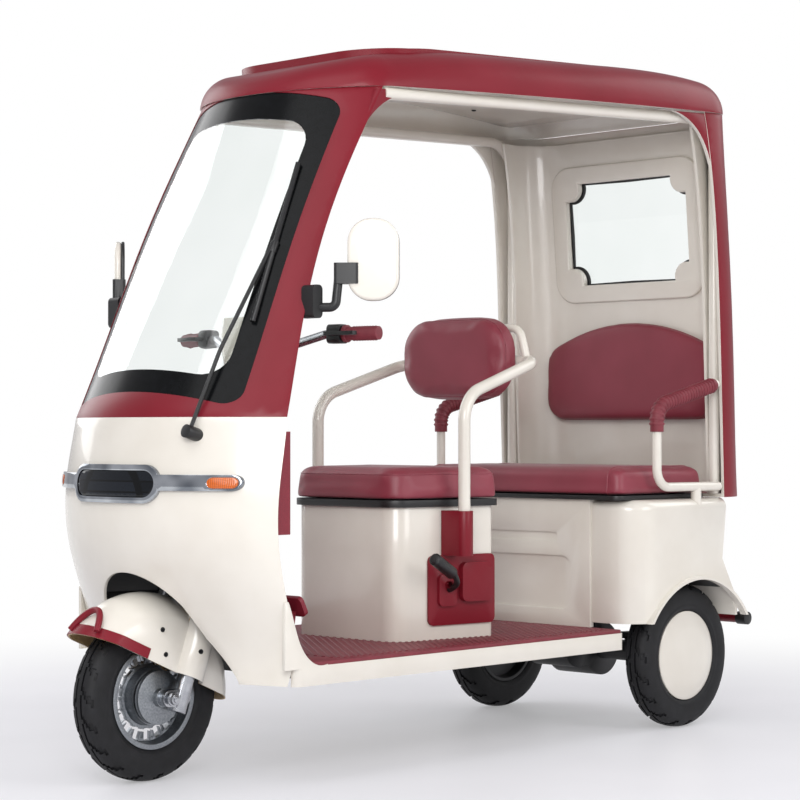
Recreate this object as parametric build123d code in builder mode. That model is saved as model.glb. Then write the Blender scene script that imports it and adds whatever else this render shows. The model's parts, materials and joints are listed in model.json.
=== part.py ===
from math import cos, hypot, radians, sin, sqrt, tan
import os

from build123d import *

os.makedirs("parts", exist_ok=True)

# Electric passenger tricycle with a roof, one front wheel and two rear wheels.
# Lengths are millimetres; X forward, Y to the vehicle's left, Z up from the ground.

# Stance and wheels
WHEELBASE = 1690
TRACK = 678
TYRE_R = 205
TYRE_W = 82
RIM_R = 127
STUB_R = 14
FRONT_SHARE = 69
FX = WHEELBASE / 2 + FRONT_SHARE
RX = FX - WHEELBASE
WHEEL_Y = TRACK / 2

# Clearances
SEAT_GAP = 0.3
RUN_GAP = 6
SLIDE_GAP = 1

# Steering head
RAKE = 20
FORK_SETBACK = 44
LEG_Y = 80
LEG_R = 21
STEM_R = 14
HEAD_R = 28
CROWN_Z = 470
CROWN_T = 30
BAR_Z = 1050
BAR_R = 11
GRIP_R = 17
GRIP_Y = 360
GRIP_L = 100
GRIP_Z = 1089
GRIP_SWEEP = 82

# Front body: level of each section, nose, rear edge (both from the front axle), half width
COWL_WALL = 8
COWL_TOP = 880
COWL_LEVELS = (
    (246, -42, -120, 372),
    (400, 10, -118, 386),
    (590, 98, -74, 391),
    (770, 102, -86, 391),
    (COWL_TOP, 81, -106, 386),
)
ROOF_TOP = 1888
PILLAR_WALL = 30
PILLAR_RISE = ROOF_TOP - 143 - COWL_TOP
PILLAR_LEVELS = (
    (COWL_TOP, 81, -106, 386),
    (COWL_TOP + 0.139 * PILLAR_RISE, 24, -148, 370),
    (COWL_TOP + 0.486 * PILLAR_RISE, -123, -255, 346),
    (COWL_TOP + 0.832 * PILLAR_RISE, -273, -415, 338),
    (COWL_TOP + PILLAR_RISE, -345, -505, 334),
)
ARCH_TOP = 507
TUNNEL_HALF = 262
TUNNEL_TAIL = 205
TUNNEL_TOP = 562
TUNNEL_BACK = 272
TUNNEL_WALL = 6

# Floor
FLOOR_Z = 298
MAT_T = 8
PAN_T = 12
SILL_H = 54
FLOOR_HALF = 388

# Rear body
BODY_HALF = 426
BODY_WALL = 9
FENDER_TOP = 655
FENDER_IN = BODY_HALF - 158
FENDER_FRONT = 300
FENDER_BEND = 100
FENDER_EDGE = 30
FENDER_BACK = 128
FENDER_FOOT = 312
ARCH_R = 272
ARCH_DROP = 52
ARCH_LIP = 12
SHELL_WALL = 10
SHELL_LEVELS = (
    (FENDER_TOP + 1, -118, -296, BODY_HALF - 2, 165),
    (FENDER_TOP + 105, -115, -290, BODY_HALF - 2, 165),
    (1200, -98, -262, BODY_HALF - 2, 150),
    (ROOF_TOP - 388, -78, -237, BODY_HALF - 4, 144),
    (ROOF_TOP - 98, -24, -212, BODY_HALF - 6, 140),
)
LINING_T = 9
LINING_GAP = 8
LINING_IN = 58
LINING_TOP = ROOF_TOP - 146
LINING_LEVELS = tuple(
    (level, edge - 8, back + SHELL_WALL + LINING_GAP, half - LINING_IN, corner - 26)
    for level, edge, back, half, corner in SHELL_LEVELS
)
WINDOW_W = 460
WINDOW_H = 315
WINDOW_Z = ROOF_TOP - 428
GLASS_T = 5

# Roof
ROOF_WALL = 12
ROOF_FRONT = FX - 316
ROOF_BACK = RX - 196
ROOF_HALF_FRONT = 342
ROOF_HALF = BODY_HALF + 2
ROOF_SHOULDER = 96
ROOF_CORNER = 130
EAVE_FRONT = ROOF_TOP - 189
EAVE_BACK = ROOF_TOP - 118
PANEL_TILT = 3.3
FRAME_R = 16

# Driver's seat
BOX_FRONT = 236
BOX_L = 338
BOX_HALF_FRONT = 188
BOX_HALF = 238
BOX_TOP = 648
BOX_WALL = 10
SEAT_PAN_T = 18
CUSHION_T = 84
CUSHION_LIP = 13
BACK_W = 396
BACK_H = 232
BACK_T = 66
BACK_BEND = 100
BACK_X = -180
BACK_Z = 1050
SEAT_TUBE_R = 16
SEAT_TUBE_X = 63
SEAT_TUBE_Y = 275

# Passenger seat
BENCH_FRONT = 306
BENCH_HALF = BODY_HALF - 42
BENCH_L = 412
BENCH_PAN_T = 12
BENCH_T = 78
BENCH_BACK_W = 650
BENCH_BACK_H = 310
BENCH_BACK_T = 50
BENCH_BACK_Z = 1030

# Running gear
RAIL_Y = 200
RAIL_W = 40
RAIL_H = 36
AXLE_R = 30
SPRING_HALF = 214
SPRING_W = 50
SPRING_T = 20
BUMPER_X = 330
BUMPER_Z = 290
BUMPER_R = 15
BUMPER_HALF = 345

STEER_X = FX - FORK_SETBACK
STEER_DIR = (-sin(radians(RAKE)), 0, cos(radians(RAKE)))
STEER = Plane(
    origin=(STEER_X, 0, TYRE_R),
    x_dir=(cos(radians(RAKE)), 0, sin(radians(RAKE))),
    z_dir=STEER_DIR,
)


def along(level):
    """Distance up the steering axis at a height above the ground."""
    return (level - TYRE_R) / cos(radians(RAKE))


def axis_x(level):
    """Station of the steering axis at a height above the ground."""
    return STEER_X - (level - TYRE_R) * tan(radians(RAKE))


def across(station, y=0, level=0):
    """Upright plane across the vehicle: its x is the vehicle's left."""
    return Plane(origin=(station, y, level), x_dir=(0, 1, 0), z_dir=(1, 0, 0))


def side(y):
    """Upright plane along the vehicle seen from its right: x forward, y up."""
    return Plane(origin=(0, y, 0), x_dir=(1, 0, 0), z_dir=(0, -1, 0))


def bent(points, radii):
    """Run of straight lines joined by round bends."""
    here = Vector(*points[0])
    for before, corner, after, radius in zip(points, points[1:], points[2:], radii):
        back = (Vector(*before) - Vector(*corner)).normalized()
        ahead = (Vector(*after) - Vector(*corner)).normalized()
        half = radians(back.get_angle(ahead)) / 2
        run = radius / tan(half)
        enter = Vector(*corner) + back * run
        leave = Vector(*corner) + ahead * run
        middle = Vector(*corner) + (back + ahead).normalized() * (radius / sin(half) - radius)
        Line(here, enter)
        ThreePointArc(enter, middle, leave)
        here = leave
    Line(here, Vector(*points[-1]))


def tube(points, bend, radius, bore=0):
    """Round tube or rod along a bent run; bend is one radius or one for each corner."""
    radii = bend if isinstance(bend, tuple) else (bend,) * (len(points) - 2)
    with BuildPart() as pipe:
        with BuildLine() as run:
            bent(points, radii)
        with BuildSketch(Plane(origin=run.wire() @ 0, z_dir=run.wire() % 0)):
            Circle(radius)
            if bore:
                Circle(bore, mode=Mode.SUBTRACT)
        sweep()
    return pipe.part


def nose(levels, inset, back=0, trim=0):
    """Bow-fronted hull through plan sections; back carries the sides further aft."""
    with BuildPart() as hull:
        for level, front, edge, half in levels:
            with BuildSketch(Plane.XY.offset(level)):
                near = FX + edge + trim
                with BuildLine():
                    ThreePointArc((near, inset - half), (FX + front - inset, 0), (near, half - inset))
                    Polyline(
                        (near, half - inset),
                        (near - back - 1, half - inset),
                        (near - back - 1, inset - half),
                        (near, inset - half),
                    )
                make_face()
        loft()
    return hull.part


def arch_face(half, top, foot, shoulder):
    """Arched outline across the vehicle, flat at its foot."""
    with BuildSketch() as outline:
        with BuildLine():
            Line((-half, foot), (half, foot))
            Line((half, foot), (half, top - shoulder))
            ThreePointArc((half, top - shoulder), (0, top), (-half, top - shoulder))
            Line((-half, top - shoulder), (-half, foot))
        make_face()
    return outline.sketch


def wheel_ring(outline, x, y):
    """Turned piece about a wheel's axle, from points (offset along the axle, radius)."""
    with BuildPart() as turned:
        with BuildSketch(across(x, y, TYRE_R)):
            with BuildLine():
                Polyline(*outline, close=True)
            make_face()
        revolve(axis=Axis((x, y, TYRE_R), (0, 1, 0)))
    return turned.part


def keep(part, name):
    """Label a piece and write it to its own file."""
    part.label = name
    export_step(part, "parts/" + name + ".step")


# Tyres: low ribbed tyres on ten-inch rims
half_w = TYRE_W / 2
TYRE_OUTLINE = (
    (-half_w * 0.72, RIM_R),
    (-half_w, RIM_R + (TYRE_R - RIM_R) * 0.45),
    (-half_w * 0.9, TYRE_R - 18),
    (-half_w * 0.55, TYRE_R - 3),
    (0, TYRE_R),
    (half_w * 0.55, TYRE_R - 3),
    (half_w * 0.9, TYRE_R - 18),
    (half_w, RIM_R + (TYRE_R - RIM_R) * 0.45),
    (half_w * 0.72, RIM_R),
)
for name, x, y in (
    ("front_tyre", FX, 0),
    ("rear_tyre_left", RX, WHEEL_Y),
    ("rear_tyre_right", RX, -WHEEL_Y),
):
    keep(wheel_ring(TYRE_OUTLINE, x, y), name)

# Front wheel: cast alloy rim with a slotted disc and a brake drum hub
RIM_OUT = RIM_R - SEAT_GAP
DRUM_R = 68
HUB_BORE = 8 + SEAT_GAP
SLOTS = 18
front_outline = (
    (-34, RIM_OUT), (-34, RIM_OUT - 12), (-6, RIM_OUT - 18), (-6, DRUM_R),
    (-36, DRUM_R - 20), (-36, HUB_BORE), (30, HUB_BORE), (30, 20), (4, 24),
    (4, DRUM_R - 8), (34, DRUM_R - 8), (34, DRUM_R), (6, DRUM_R + 3),
    (6, RIM_OUT - 18), (34, RIM_OUT - 12), (34, RIM_OUT),
)
front_blank = wheel_ring(front_outline, FX, 0)
with BuildPart() as front_rim:
    add(front_blank)
    with BuildSketch(Plane(origin=(FX, -20, TYRE_R), x_dir=(1, 0, 0), z_dir=(0, 1, 0))):
        with PolarLocations((DRUM_R + RIM_OUT - 12) / 2, SLOTS):
            Rectangle(22, 9)
    extrude(amount=40, mode=Mode.SUBTRACT)
keep(front_rim.part, "front_rim")

# Rear wheels: pressed steel disc on a driven hub, closed outside by a domed cap
for name, turn in (("left", 1), ("right", -1)):
    rear_outline = (
        (-34, RIM_OUT), (-34, RIM_OUT - 10), (-4, RIM_OUT - 16), (-4, 46), (-24, 40),
        (-24, STUB_R + SEAT_GAP), (12, STUB_R + SEAT_GAP), (12, 40), (6, 46),
        (6, RIM_OUT - 16), (30, RIM_OUT - 10), (30, RIM_OUT),
    )
    cap_outline = (
        (30 + SEAT_GAP, RIM_OUT), (30 + SEAT_GAP, RIM_OUT - 9), (40, 88), (43, 40), (43, 0),
        (49, 0), (48, 42), (45, 90), (36, RIM_OUT),
    )
    rear = [(turn * a, r) for a, r in rear_outline]
    cap = [(turn * a, r) for a, r in cap_outline]
    keep(wheel_ring(rear, RX, turn * WHEEL_Y), "rear_rim_" + name)
    keep(wheel_ring(cap, RX, turn * WHEEL_Y), "hub_cap_" + name)

# Fork: two legs with axle lugs, crown, and the stem up to the bar
LEG_FOOT = -38
CROWN_S = along(CROWN_Z)
STEM_TOP = along(BAR_Z) - 18
HEAD_LOW = CROWN_S + CROWN_T + RUN_GAP
HEAD_HIGH = HEAD_LOW + 190
LUG_T = 24
AXLE_PIN_R = 8
with BuildPart() as fork:
    with BuildSketch(STEER.offset(LEG_FOOT)):
        with Locations((0, LEG_Y), (0, -LEG_Y)):
            Circle(LEG_R)
    extrude(amount=CROWN_S - LEG_FOOT)
    with BuildSketch(STEER.offset(CROWN_S)):
        RectangleRounded(66, 2 * LEG_Y + 60, 20)
    extrude(amount=CROWN_T)
    with BuildSketch(STEER.offset(CROWN_S)):
        Circle(STEM_R)
    extrude(amount=STEM_TOP - CROWN_S)
    for low in (HEAD_LOW, HEAD_HIGH - 14):
        with BuildSketch(STEER.offset(low)):
            Circle(HEAD_R - 8 - SEAT_GAP)
        extrude(amount=14)
    for turn in (1, -1):
        with BuildSketch(side(turn * LEG_Y + LUG_T / 2)):
            with BuildLine():
                CenterArc((FX, TYRE_R), 20, 0, 360)
                CenterArc((STEER_X, TYRE_R), LEG_R, 0, 360)
            make_hull()
        extrude(amount=LUG_T)
    with BuildSketch(side(LEG_Y + LUG_T / 2 + 14)):
        with Locations((FX, TYRE_R)):
            Circle(AXLE_PIN_R)
    extrude(amount=2 * LEG_Y + LUG_T + 28)
keep(fork.part, "fork")

# Brake backing plate beside the front drum, pegged to the left fork leg
PLATE_Y = 34 + RUN_GAP
with BuildPart() as brake_plate:
    with BuildSketch(side(PLATE_Y + 12)):
        with Locations((FX, TYRE_R)):
            Circle(DRUM_R - 2)
            Circle(AXLE_PIN_R + SEAT_GAP, mode=Mode.SUBTRACT)
    extrude(amount=12)
    with BuildSketch(side(LEG_Y - LUG_T / 2 - SEAT_GAP)):
        with Locations((FX, TYRE_R)):
            Circle(22)
            Circle(AXLE_PIN_R + SEAT_GAP, mode=Mode.SUBTRACT)
    extrude(amount=LEG_Y - LUG_T / 2 - SEAT_GAP - PLATE_Y - 12)
keep(brake_plate.part, "brake_plate")

# Front mudguard: deep hooded guard with covers over the fork legs, cut on a slope
GUARD_X = FX + 20
GUARD_Z = TYRE_R + 5
GUARD_R = TYRE_R + 43
GUARD_HALF = 88
GUARD_WALL = 4
COVER_R = 42
COVER_TOP = 430
GUARD_TIP = (GUARD_X + 196, GUARD_Z + 161)
GUARD_TAIL = (GUARD_X - 246, GUARD_Z - 33)


def guard_body(inset):
    with BuildPart() as body:
        with BuildSketch(across(GUARD_X, 0, GUARD_Z)):
            with BuildLine():
                half = GUARD_HALF - inset
                Polyline((half, GUARD_R - 58), (half, 60), (-half, 60), (-half, GUARD_R - 58))
                ThreePointArc((-half, GUARD_R - 58), (0, GUARD_R - inset), (half, GUARD_R - 58))
            make_face()
        revolve(axis=Axis((GUARD_X, 0, GUARD_Z), (0, 1, 0)))
        with BuildSketch(STEER.offset(LEG_FOOT - 40 - inset)):
            with Locations((0, LEG_Y), (0, -LEG_Y)):
                Circle(COVER_R - inset)
        extrude(amount=along(COVER_TOP) - LEG_FOOT + 40)
    return body.part


guard_out = guard_body(0)
guard_in = guard_body(GUARD_WALL)
with BuildPart() as front_mudguard:
    add(guard_out)
    add(guard_in, mode=Mode.SUBTRACT)
    with BuildSketch(Plane(origin=(GUARD_X, 0, GUARD_Z), x_dir=(1, 0, 0), z_dir=(0, 1, 0))):
        Circle(62)
    extrude(amount=400, both=True, mode=Mode.SUBTRACT)
    with BuildSketch(STEER.offset(LEG_FOOT)):
        with Locations((0, LEG_Y), (0, -LEG_Y)):
            Circle(LEG_R + SEAT_GAP)
    extrude(amount=CROWN_S - LEG_FOOT, mode=Mode.SUBTRACT)
    with BuildSketch(side(0)):
        with BuildLine():
            Polyline(
                (GUARD_TIP[0] + 200, GUARD_TIP[1] + 200 * 0.443),
                (GUARD_TAIL[0] - 200, GUARD_TAIL[1] - 200 * 0.443),
                (GUARD_TAIL[0] - 200, -200),
                (GUARD_TIP[0] + 200, -200),
                close=True,
            )
        make_face()
    extrude(amount=400, both=True, mode=Mode.SUBTRACT)
keep(front_mudguard.part, "front_mudguard")

# Handlebar: one bent tube clamped on top of the stem
BAR_X = axis_x(BAR_Z)
GRIP_X = axis_x(GRIP_Z) - GRIP_SWEEP + 10
bar_points = [
    (GRIP_X, GRIP_Y, GRIP_Z),
    (GRIP_X + 30, GRIP_Y - 150, GRIP_Z),
    (BAR_X, 90, BAR_Z),
    (BAR_X, -90, BAR_Z),
    (GRIP_X + 30, 150 - GRIP_Y, GRIP_Z),
    (GRIP_X, -GRIP_Y, GRIP_Z),
]
bar = tube(bar_points, 45, BAR_R)
with BuildPart() as handlebar:
    add(bar)
    with BuildSketch(STEER.offset(STEM_TOP + SEAT_GAP)):
        RectangleRounded(46, 70, 8)
    extrude(amount=44)
keep(handlebar.part, "handlebar")

# Hand grips: ribbed sleeves over the ends of the bar
grip_dir = (Vector(*bar_points[1]) - Vector(*bar_points[0])).normalized()
with BuildPart() as hand_grips:
    for turn in (1, -1):
        start = Vector(GRIP_X, turn * GRIP_Y, GRIP_Z)
        aim = Vector(grip_dir.X, turn * grip_dir.Y, grip_dir.Z)
        with BuildSketch(Plane(origin=start - aim * 4, z_dir=aim)):
            Circle(GRIP_R)
        extrude(amount=GRIP_L)
        with BuildSketch(Plane(origin=start + aim * (GRIP_L - 12), z_dir=aim)):
            Circle(GRIP_R + 5)
        extrude(amount=8)
        with BuildSketch(Plane(origin=start, z_dir=aim)):
            Circle(BAR_R + SEAT_GAP)
        extrude(amount=GRIP_L, mode=Mode.SUBTRACT)
keep(hand_grips.part, "hand_grips")

# Switch pods with brake levers, clamped inboard of the grips
POD_L = 38
with BuildPart() as lever_pods:
    for turn in (1, -1):
        start = Vector(GRIP_X, turn * GRIP_Y, GRIP_Z)
        aim = Vector(grip_dir.X, turn * grip_dir.Y, grip_dir.Z)
        pod = Plane(origin=start + aim * (GRIP_L + SLIDE_GAP), x_dir=(0, 0, 1), z_dir=aim)
        with BuildSketch(pod):
            RectangleRounded(48, 44, 12)
        extrude(amount=POD_L)
        lever_root = start + aim * (GRIP_L + 22)
        with BuildSketch(Plane.XY.offset(GRIP_Z - 5)):
            with BuildLine():
                Polyline(
                    (lever_root.X + 10, lever_root.Y),
                    (lever_root.X + 48, lever_root.Y),
                    (start.X + 58, start.Y - turn * 30),
                    (start.X + 44, start.Y - turn * 28),
                    (lever_root.X + 26, lever_root.Y + turn * 22),
                    (lever_root.X + 10, lever_root.Y + turn * 22),
                    close=True,
                )
            make_face()
        extrude(amount=10)
        with BuildSketch(Plane(origin=start, z_dir=aim)):
            Circle(BAR_R + SEAT_GAP)
        extrude(amount=GRIP_L + 120, mode=Mode.SUBTRACT)
keep(lever_pods.part, "lever_pods")

# Instrument head: hood over the middle of the bar with a tapering skirt below
HOOD_LOW = along(BAR_Z) - 96
with BuildPart() as nacelle:
    for up, length, width in ((HOOD_LOW, 60, 70), (HOOD_LOW + 74, 92, 150), (HOOD_LOW + 168, 110, 196)):
        with BuildSketch(STEER.offset(up)):
            RectangleRounded(length, width, 24)
    loft()
    for up, length, width in ((HOOD_LOW - 4, 48, 58), (HOOD_LOW + 74, 80, 138), (HOOD_LOW + 160, 98, 184)):
        with BuildSketch(STEER.offset(up)):
            RectangleRounded(length, width, 18)
    loft(mode=Mode.SUBTRACT)
    bar_room = tube(bar_points, 45, BAR_R + SEAT_GAP)
    add(bar_room, mode=Mode.SUBTRACT)
keep(nacelle.part, "nacelle")

# Front cowl: bow-fronted shell with a flared wheel opening
cowl_out = nose(COWL_LEVELS, 0)
cowl_void = nose(COWL_LEVELS, COWL_WALL, back=300)
with BuildPart() as front_cowl:
    add(cowl_out)
    add(cowl_void, mode=Mode.SUBTRACT)
    with BuildSketch(across(FX - 200)):
        with BuildLine():
            ThreePointArc((-147, 430), (0, ARCH_TOP), (147, 430))
            Polyline(
                (147, 430), (180, 352), (250, 252), (262, 200),
                (-262, 200), (-250, 252), (-180, 352), (-147, 430),
            )
        make_face()
    extrude(amount=500, mode=Mode.SUBTRACT)
keep(front_cowl.part, "front_cowl")

# Front wheel housing: black liner tunnel behind the opening, narrower to the rear
TUNNEL_X = FX - TUNNEL_BACK
TUNNEL_SPREAD = (TUNNEL_HALF - TUNNEL_TAIL) / (TUNNEL_BACK - 112)


def tunnel(inset, foot, fore):
    """Arched hull over the front wheel, from its back wall to a station past the panel."""
    with BuildPart() as hull:
        reach = TUNNEL_BACK - 112 + fore - inset
        for run in (0, reach):
            half = TUNNEL_TAIL - inset + TUNNEL_SPREAD * (run + inset)
            with BuildSketch(across(TUNNEL_X + inset + run)):
                add(arch_face(half, TUNNEL_TOP - inset, foot, 112))
        loft(ruled=True)
    return hull.part


lining_room = nose(COWL_LEVELS, COWL_WALL + SEAT_GAP, back=600)
with BuildPart() as wheel_housing:
    inset = TUNNEL_WALL + SEAT_GAP
    add(tunnel(inset, 246, 240))
    add(tunnel(inset + 4, 200, 260), mode=Mode.SUBTRACT)
    add(lining_room, mode=Mode.INTERSECT)
    with BuildSketch(STEER.offset(CROWN_S)):
        Circle(HEAD_R + 22)
    extrude(amount=200, mode=Mode.SUBTRACT)
keep(wheel_housing.part, "wheel_housing")

# Inner leg shield: panel closing the cowl, tunnel over the wheel, knee bolster, spine cover
BOLSTER_LOW = 598
BOLSTER_HIGH = 846
BOLSTER_HALF = 292
SPINE_X = TUNNEL_X - 42
panel_front = nose(COWL_LEVELS, COWL_WALL + SEAT_GAP)
panel_cut = nose(COWL_LEVELS, COWL_WALL - 40, trim=14)


def bolster(inset, fore):
    with BuildPart() as bulge:
        with BuildSketch(Plane.XY.offset(BOLSTER_LOW + inset)):
            with BuildLine():
                half = BOLSTER_HALF - inset
                ThreePointArc((FX - 205 + inset, half), (FX - 335 + inset, 0), (FX - 205 + inset, -half))
                Polyline(
                    (FX - 205 + inset, -half), (FX - 105 + fore, -half),
                    (FX - 105 + fore, half), (FX - 205 + inset, half),
                )
            make_face()
        extrude(amount=BOLSTER_HIGH - BOLSTER_LOW - 2 * inset)
    return bulge.part


bolster_out = bolster(0, 10)
bolster_in = bolster(8, 60)
with BuildPart() as leg_shield:
    add(panel_front)
    add(panel_cut, mode=Mode.SUBTRACT)
    add(bolster_out)
    add(tunnel(0, 246, 0))
    with BuildSketch(Plane.XY.offset(FLOOR_Z + SEAT_GAP)):
        with Locations((SPINE_X + 20, 0)):
            RectangleRounded(126, 116, 18)
    extrude(amount=BOLSTER_LOW + 20 - FLOOR_Z)
    add(bolster_in, mode=Mode.SUBTRACT)
    add(tunnel(TUNNEL_WALL, 200, 146), mode=Mode.SUBTRACT)
    with BuildSketch(Plane.XY.offset(FLOOR_Z - 60)):
        with Locations((SPINE_X + 20, 0)):
            RectangleRounded(110, 100, 12)
    extrude(amount=BOLSTER_LOW + 80 - FLOOR_Z, mode=Mode.SUBTRACT)
    with BuildSketch(Plane.XY.offset(TUNNEL_TOP + 4)):
        with Locations((SPINE_X + 70, 0)):
            Rectangle(150, 70)
    extrude(amount=BOLSTER_LOW + 20 - TUNNEL_TOP, mode=Mode.SUBTRACT)
    with BuildSketch(STEER.offset(CROWN_S)):
        Circle(HEAD_R + 14)
    extrude(amount=600, mode=Mode.SUBTRACT)
keep(leg_shield.part, "leg_shield")

# Screen frame: band over the cowl, both pillars and the header in one pressing
GLASS_LOW = COWL_TOP + 62
GLASS_HIGH = EAVE_FRONT + 7
GLASS_FOOT = 300
GLASS_HEAD = 281
GLASS_CORNER = 46
lean = (PILLAR_LEVELS[1][1] - PILLAR_LEVELS[2][1]) / (PILLAR_LEVELS[2][0] - PILLAR_LEVELS[1][0])
screen = Plane(
    origin=(FX + 24 + lean * 58, 0, GLASS_LOW),
    x_dir=(0, 1, 0),
    z_dir=(1, 0, lean),
)
screen_run = (GLASS_HIGH - GLASS_LOW) * hypot(1, lean)


def screen_face(inset):
    """Glass outline on the leaning plane of the screen."""
    with BuildSketch() as outline:
        with BuildLine():
            FilletPolyline(
                (inset - GLASS_FOOT, inset),
                (GLASS_FOOT - inset, inset),
                (GLASS_HEAD - inset, screen_run - inset),
                (inset - GLASS_HEAD, screen_run - inset),
                radius=GLASS_CORNER,
                close=True,
            )
        make_face()
    return outline.sketch


def eave_at(station):
    """Level of the roof's lower edge, rising evenly to the rear."""
    return EAVE_FRONT + (EAVE_BACK - EAVE_FRONT) * (ROOF_FRONT - station) / (ROOF_FRONT - ROOF_BACK)


def above_eave(shift):
    """Everything above the roof's lower edge."""
    with BuildPart() as space:
        with BuildSketch(side(700)):
            with BuildLine():
                Polyline(
                    (ROOF_FRONT + 300, eave_at(ROOF_FRONT + 300) + shift),
                    (ROOF_BACK - 300, eave_at(ROOF_BACK - 300) + shift),
                    (ROOF_BACK - 300, ROOF_TOP + 300),
                    (ROOF_FRONT + 300, ROOF_TOP + 300),
                    close=True,
                )
            make_face()
        extrude(amount=1400)
    return space.part


def roof_body(inset):
    """Roof hull: rounded plan under a swept top line, with rounded shoulders."""
    with BuildPart() as hull:
        with BuildSketch(Plane.XY.offset(EAVE_FRONT - 160)) as plan:
            with BuildLine():
                front = ROOF_FRONT - inset
                back = ROOF_BACK + inset
                corner = ROOF_FRONT - 164
                middle = (corner + back) / 2
                narrow = ROOF_HALF_FRONT - inset
                wide = ROOF_HALF - inset
                ThreePointArc((corner, -narrow), (front, 0), (corner, narrow))
                ThreePointArc((corner, narrow), (middle, wide - 14), (back, wide))
                Line((back, wide), (back, -wide))
                ThreePointArc((back, -wide), (middle, 14 - wide), (corner, -narrow))
            make_face()
            fillet(plan.vertices(), ROOF_CORNER - inset)
        extrude(amount=500)
        with BuildSketch(side(700)):
            with BuildLine():
                high = ROOF_TOP - inset
                Spline(
                    (ROOF_FRONT + 40, high - 180),
                    (ROOF_FRONT - 110, high - 112),
                    (ROOF_FRONT - 298, high - 74),
                    ((ROOF_FRONT + ROOF_BACK) / 2, high - 42),
                    (ROOF_BACK + 192, high - 19),
                    (ROOF_BACK - 40, high - 38),
                )
                Polyline(
                    (ROOF_BACK - 40, high - 38),
                    (ROOF_BACK - 40, EAVE_FRONT - 300),
                    (ROOF_FRONT + 40, EAVE_FRONT - 300),
                    (ROOF_FRONT + 40, high - 180),
                )
            make_face()
        extrude(amount=1400, mode=Mode.INTERSECT)
        fillet(hull.faces().sort_by(Axis.Z)[-1].edges(), ROOF_SHOULDER - inset)
    return hull.part


roof_out = roof_body(0)
roof_room = roof_body(ROOF_WALL)
over_eave = above_eave(0)
under_roof = above_eave(-SEAT_GAP)
pillars_out = nose(PILLAR_LEVELS, 0)
pillars_in = nose(PILLAR_LEVELS, PILLAR_WALL, back=500)
with BuildPart() as screen_frame:
    add(pillars_out)
    add(pillars_in, mode=Mode.SUBTRACT)
    with BuildSketch(screen):
        add(screen_face(0))
    extrude(amount=200, both=True, mode=Mode.SUBTRACT)
    add(under_roof, mode=Mode.SUBTRACT)
    with BuildSketch(Plane.XY.offset(COWL_TOP)):
        with Locations((FX, 0)):
            Rectangle(900, 900)
    extrude(amount=SEAT_GAP, mode=Mode.SUBTRACT)
keep(screen_frame.part, "screen_frame")

# Windscreen: curved pane set just below the face of the frame
pane_out = nose(PILLAR_LEVELS, 3, back=200)
pane_in = nose(PILLAR_LEVELS, 3 + GLASS_T + 1, back=400)
with BuildPart() as windscreen:
    add(pane_out)
    add(pane_in, mode=Mode.SUBTRACT)
    with BuildSketch(screen):
        add(screen_face(SEAT_GAP))
    extrude(amount=200, both=True, mode=Mode.INTERSECT)
    add(under_roof, mode=Mode.SUBTRACT)
keep(windscreen.part, "windscreen")

# Headlamp: one wide lamp across the nose, chrome bezel round a dark lens
LAMP_Z = 722
LAMP_HALF = 158
LAMP_H = 92
ARM_REACH = 336
ARM_H = 38
BLINK_L = 61
BLINK_H = 26
BLINK_Y = ARM_REACH - 6 - BLINK_L / 2
lamp_face = nose(COWL_LEVELS, -10)
lamp_seat = nose(COWL_LEVELS, -SEAT_GAP)
with BuildPart() as headlamp_bezel:
    add(lamp_face)
    add(lamp_seat, mode=Mode.SUBTRACT)
    with BuildSketch(across(FX - 60)):
        with Locations((0, LAMP_Z)):
            SlotOverall(2 * LAMP_HALF, LAMP_H)
        with Locations((0, LAMP_Z + 4)):
            SlotOverall(2 * ARM_REACH, ARM_H)
        with Locations((0, LAMP_Z)):
            SlotOverall(2 * LAMP_HALF - 28, LAMP_H - 28, mode=Mode.SUBTRACT)
        with Locations((BLINK_Y, LAMP_Z + 4), (-BLINK_Y, LAMP_Z + 4)):
            SlotOverall(BLINK_L + 2 * SEAT_GAP, BLINK_H + 2 * SEAT_GAP, mode=Mode.SUBTRACT)
    extrude(amount=300, mode=Mode.INTERSECT)
keep(headlamp_bezel.part, "headlamp_bezel")

lens_face = nose(COWL_LEVELS, -7)
with BuildPart() as headlamp_lens:
    add(lens_face)
    add(lamp_seat, mode=Mode.SUBTRACT)
    with BuildSketch(across(FX)):
        with Locations((0, LAMP_Z)):
            SlotOverall(2 * LAMP_HALF - 28 - 2 * SEAT_GAP, LAMP_H - 28 - 2 * SEAT_GAP)
    extrude(amount=200, mode=Mode.INTERSECT)
keep(headlamp_lens.part, "headlamp_lens")

# Indicators: amber lenses let into the ends of the lamp's chrome arms
blinker_face = nose(COWL_LEVELS, -12)
with BuildPart() as indicators:
    add(blinker_face)
    add(lamp_seat, mode=Mode.SUBTRACT)
    with BuildSketch(across(FX - 60)):
        with Locations((BLINK_Y, LAMP_Z + 4), (-BLINK_Y, LAMP_Z + 4)):
            SlotOverall(BLINK_L, BLINK_H)
    extrude(amount=300, mode=Mode.INTERSECT)
keep(indicators.part, "indicators")

# Wiper: pivot on the cowl, arm and blade up the left side of the screen
WIPER_Y = 225
WIPER_Z = 834


def front_at(levels, level, y):
    """Station of a bow-fronted hull's face at a height and a distance from the middle."""
    for low, high in zip(levels, levels[1:]):
        if low[0] <= level <= high[0]:
            share = (level - low[0]) / (high[0] - low[0])
            front, edge, half = [a + (b - a) * share for a, b in zip(low[1:], high[1:])]
            sag = front - edge
            round_r = (half**2 + sag**2) / (2 * sag)
            return FX + front - round_r + sqrt(round_r**2 - y**2)
    raise ValueError(level)


WIPER_HEAD = 1304
BLADE_R = 7
BLADE_LOW = (272, 1108)
BLADE_HIGH = (242, 1504)
pillars_clear = nose(PILLAR_LEVELS, -SEAT_GAP)


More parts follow.
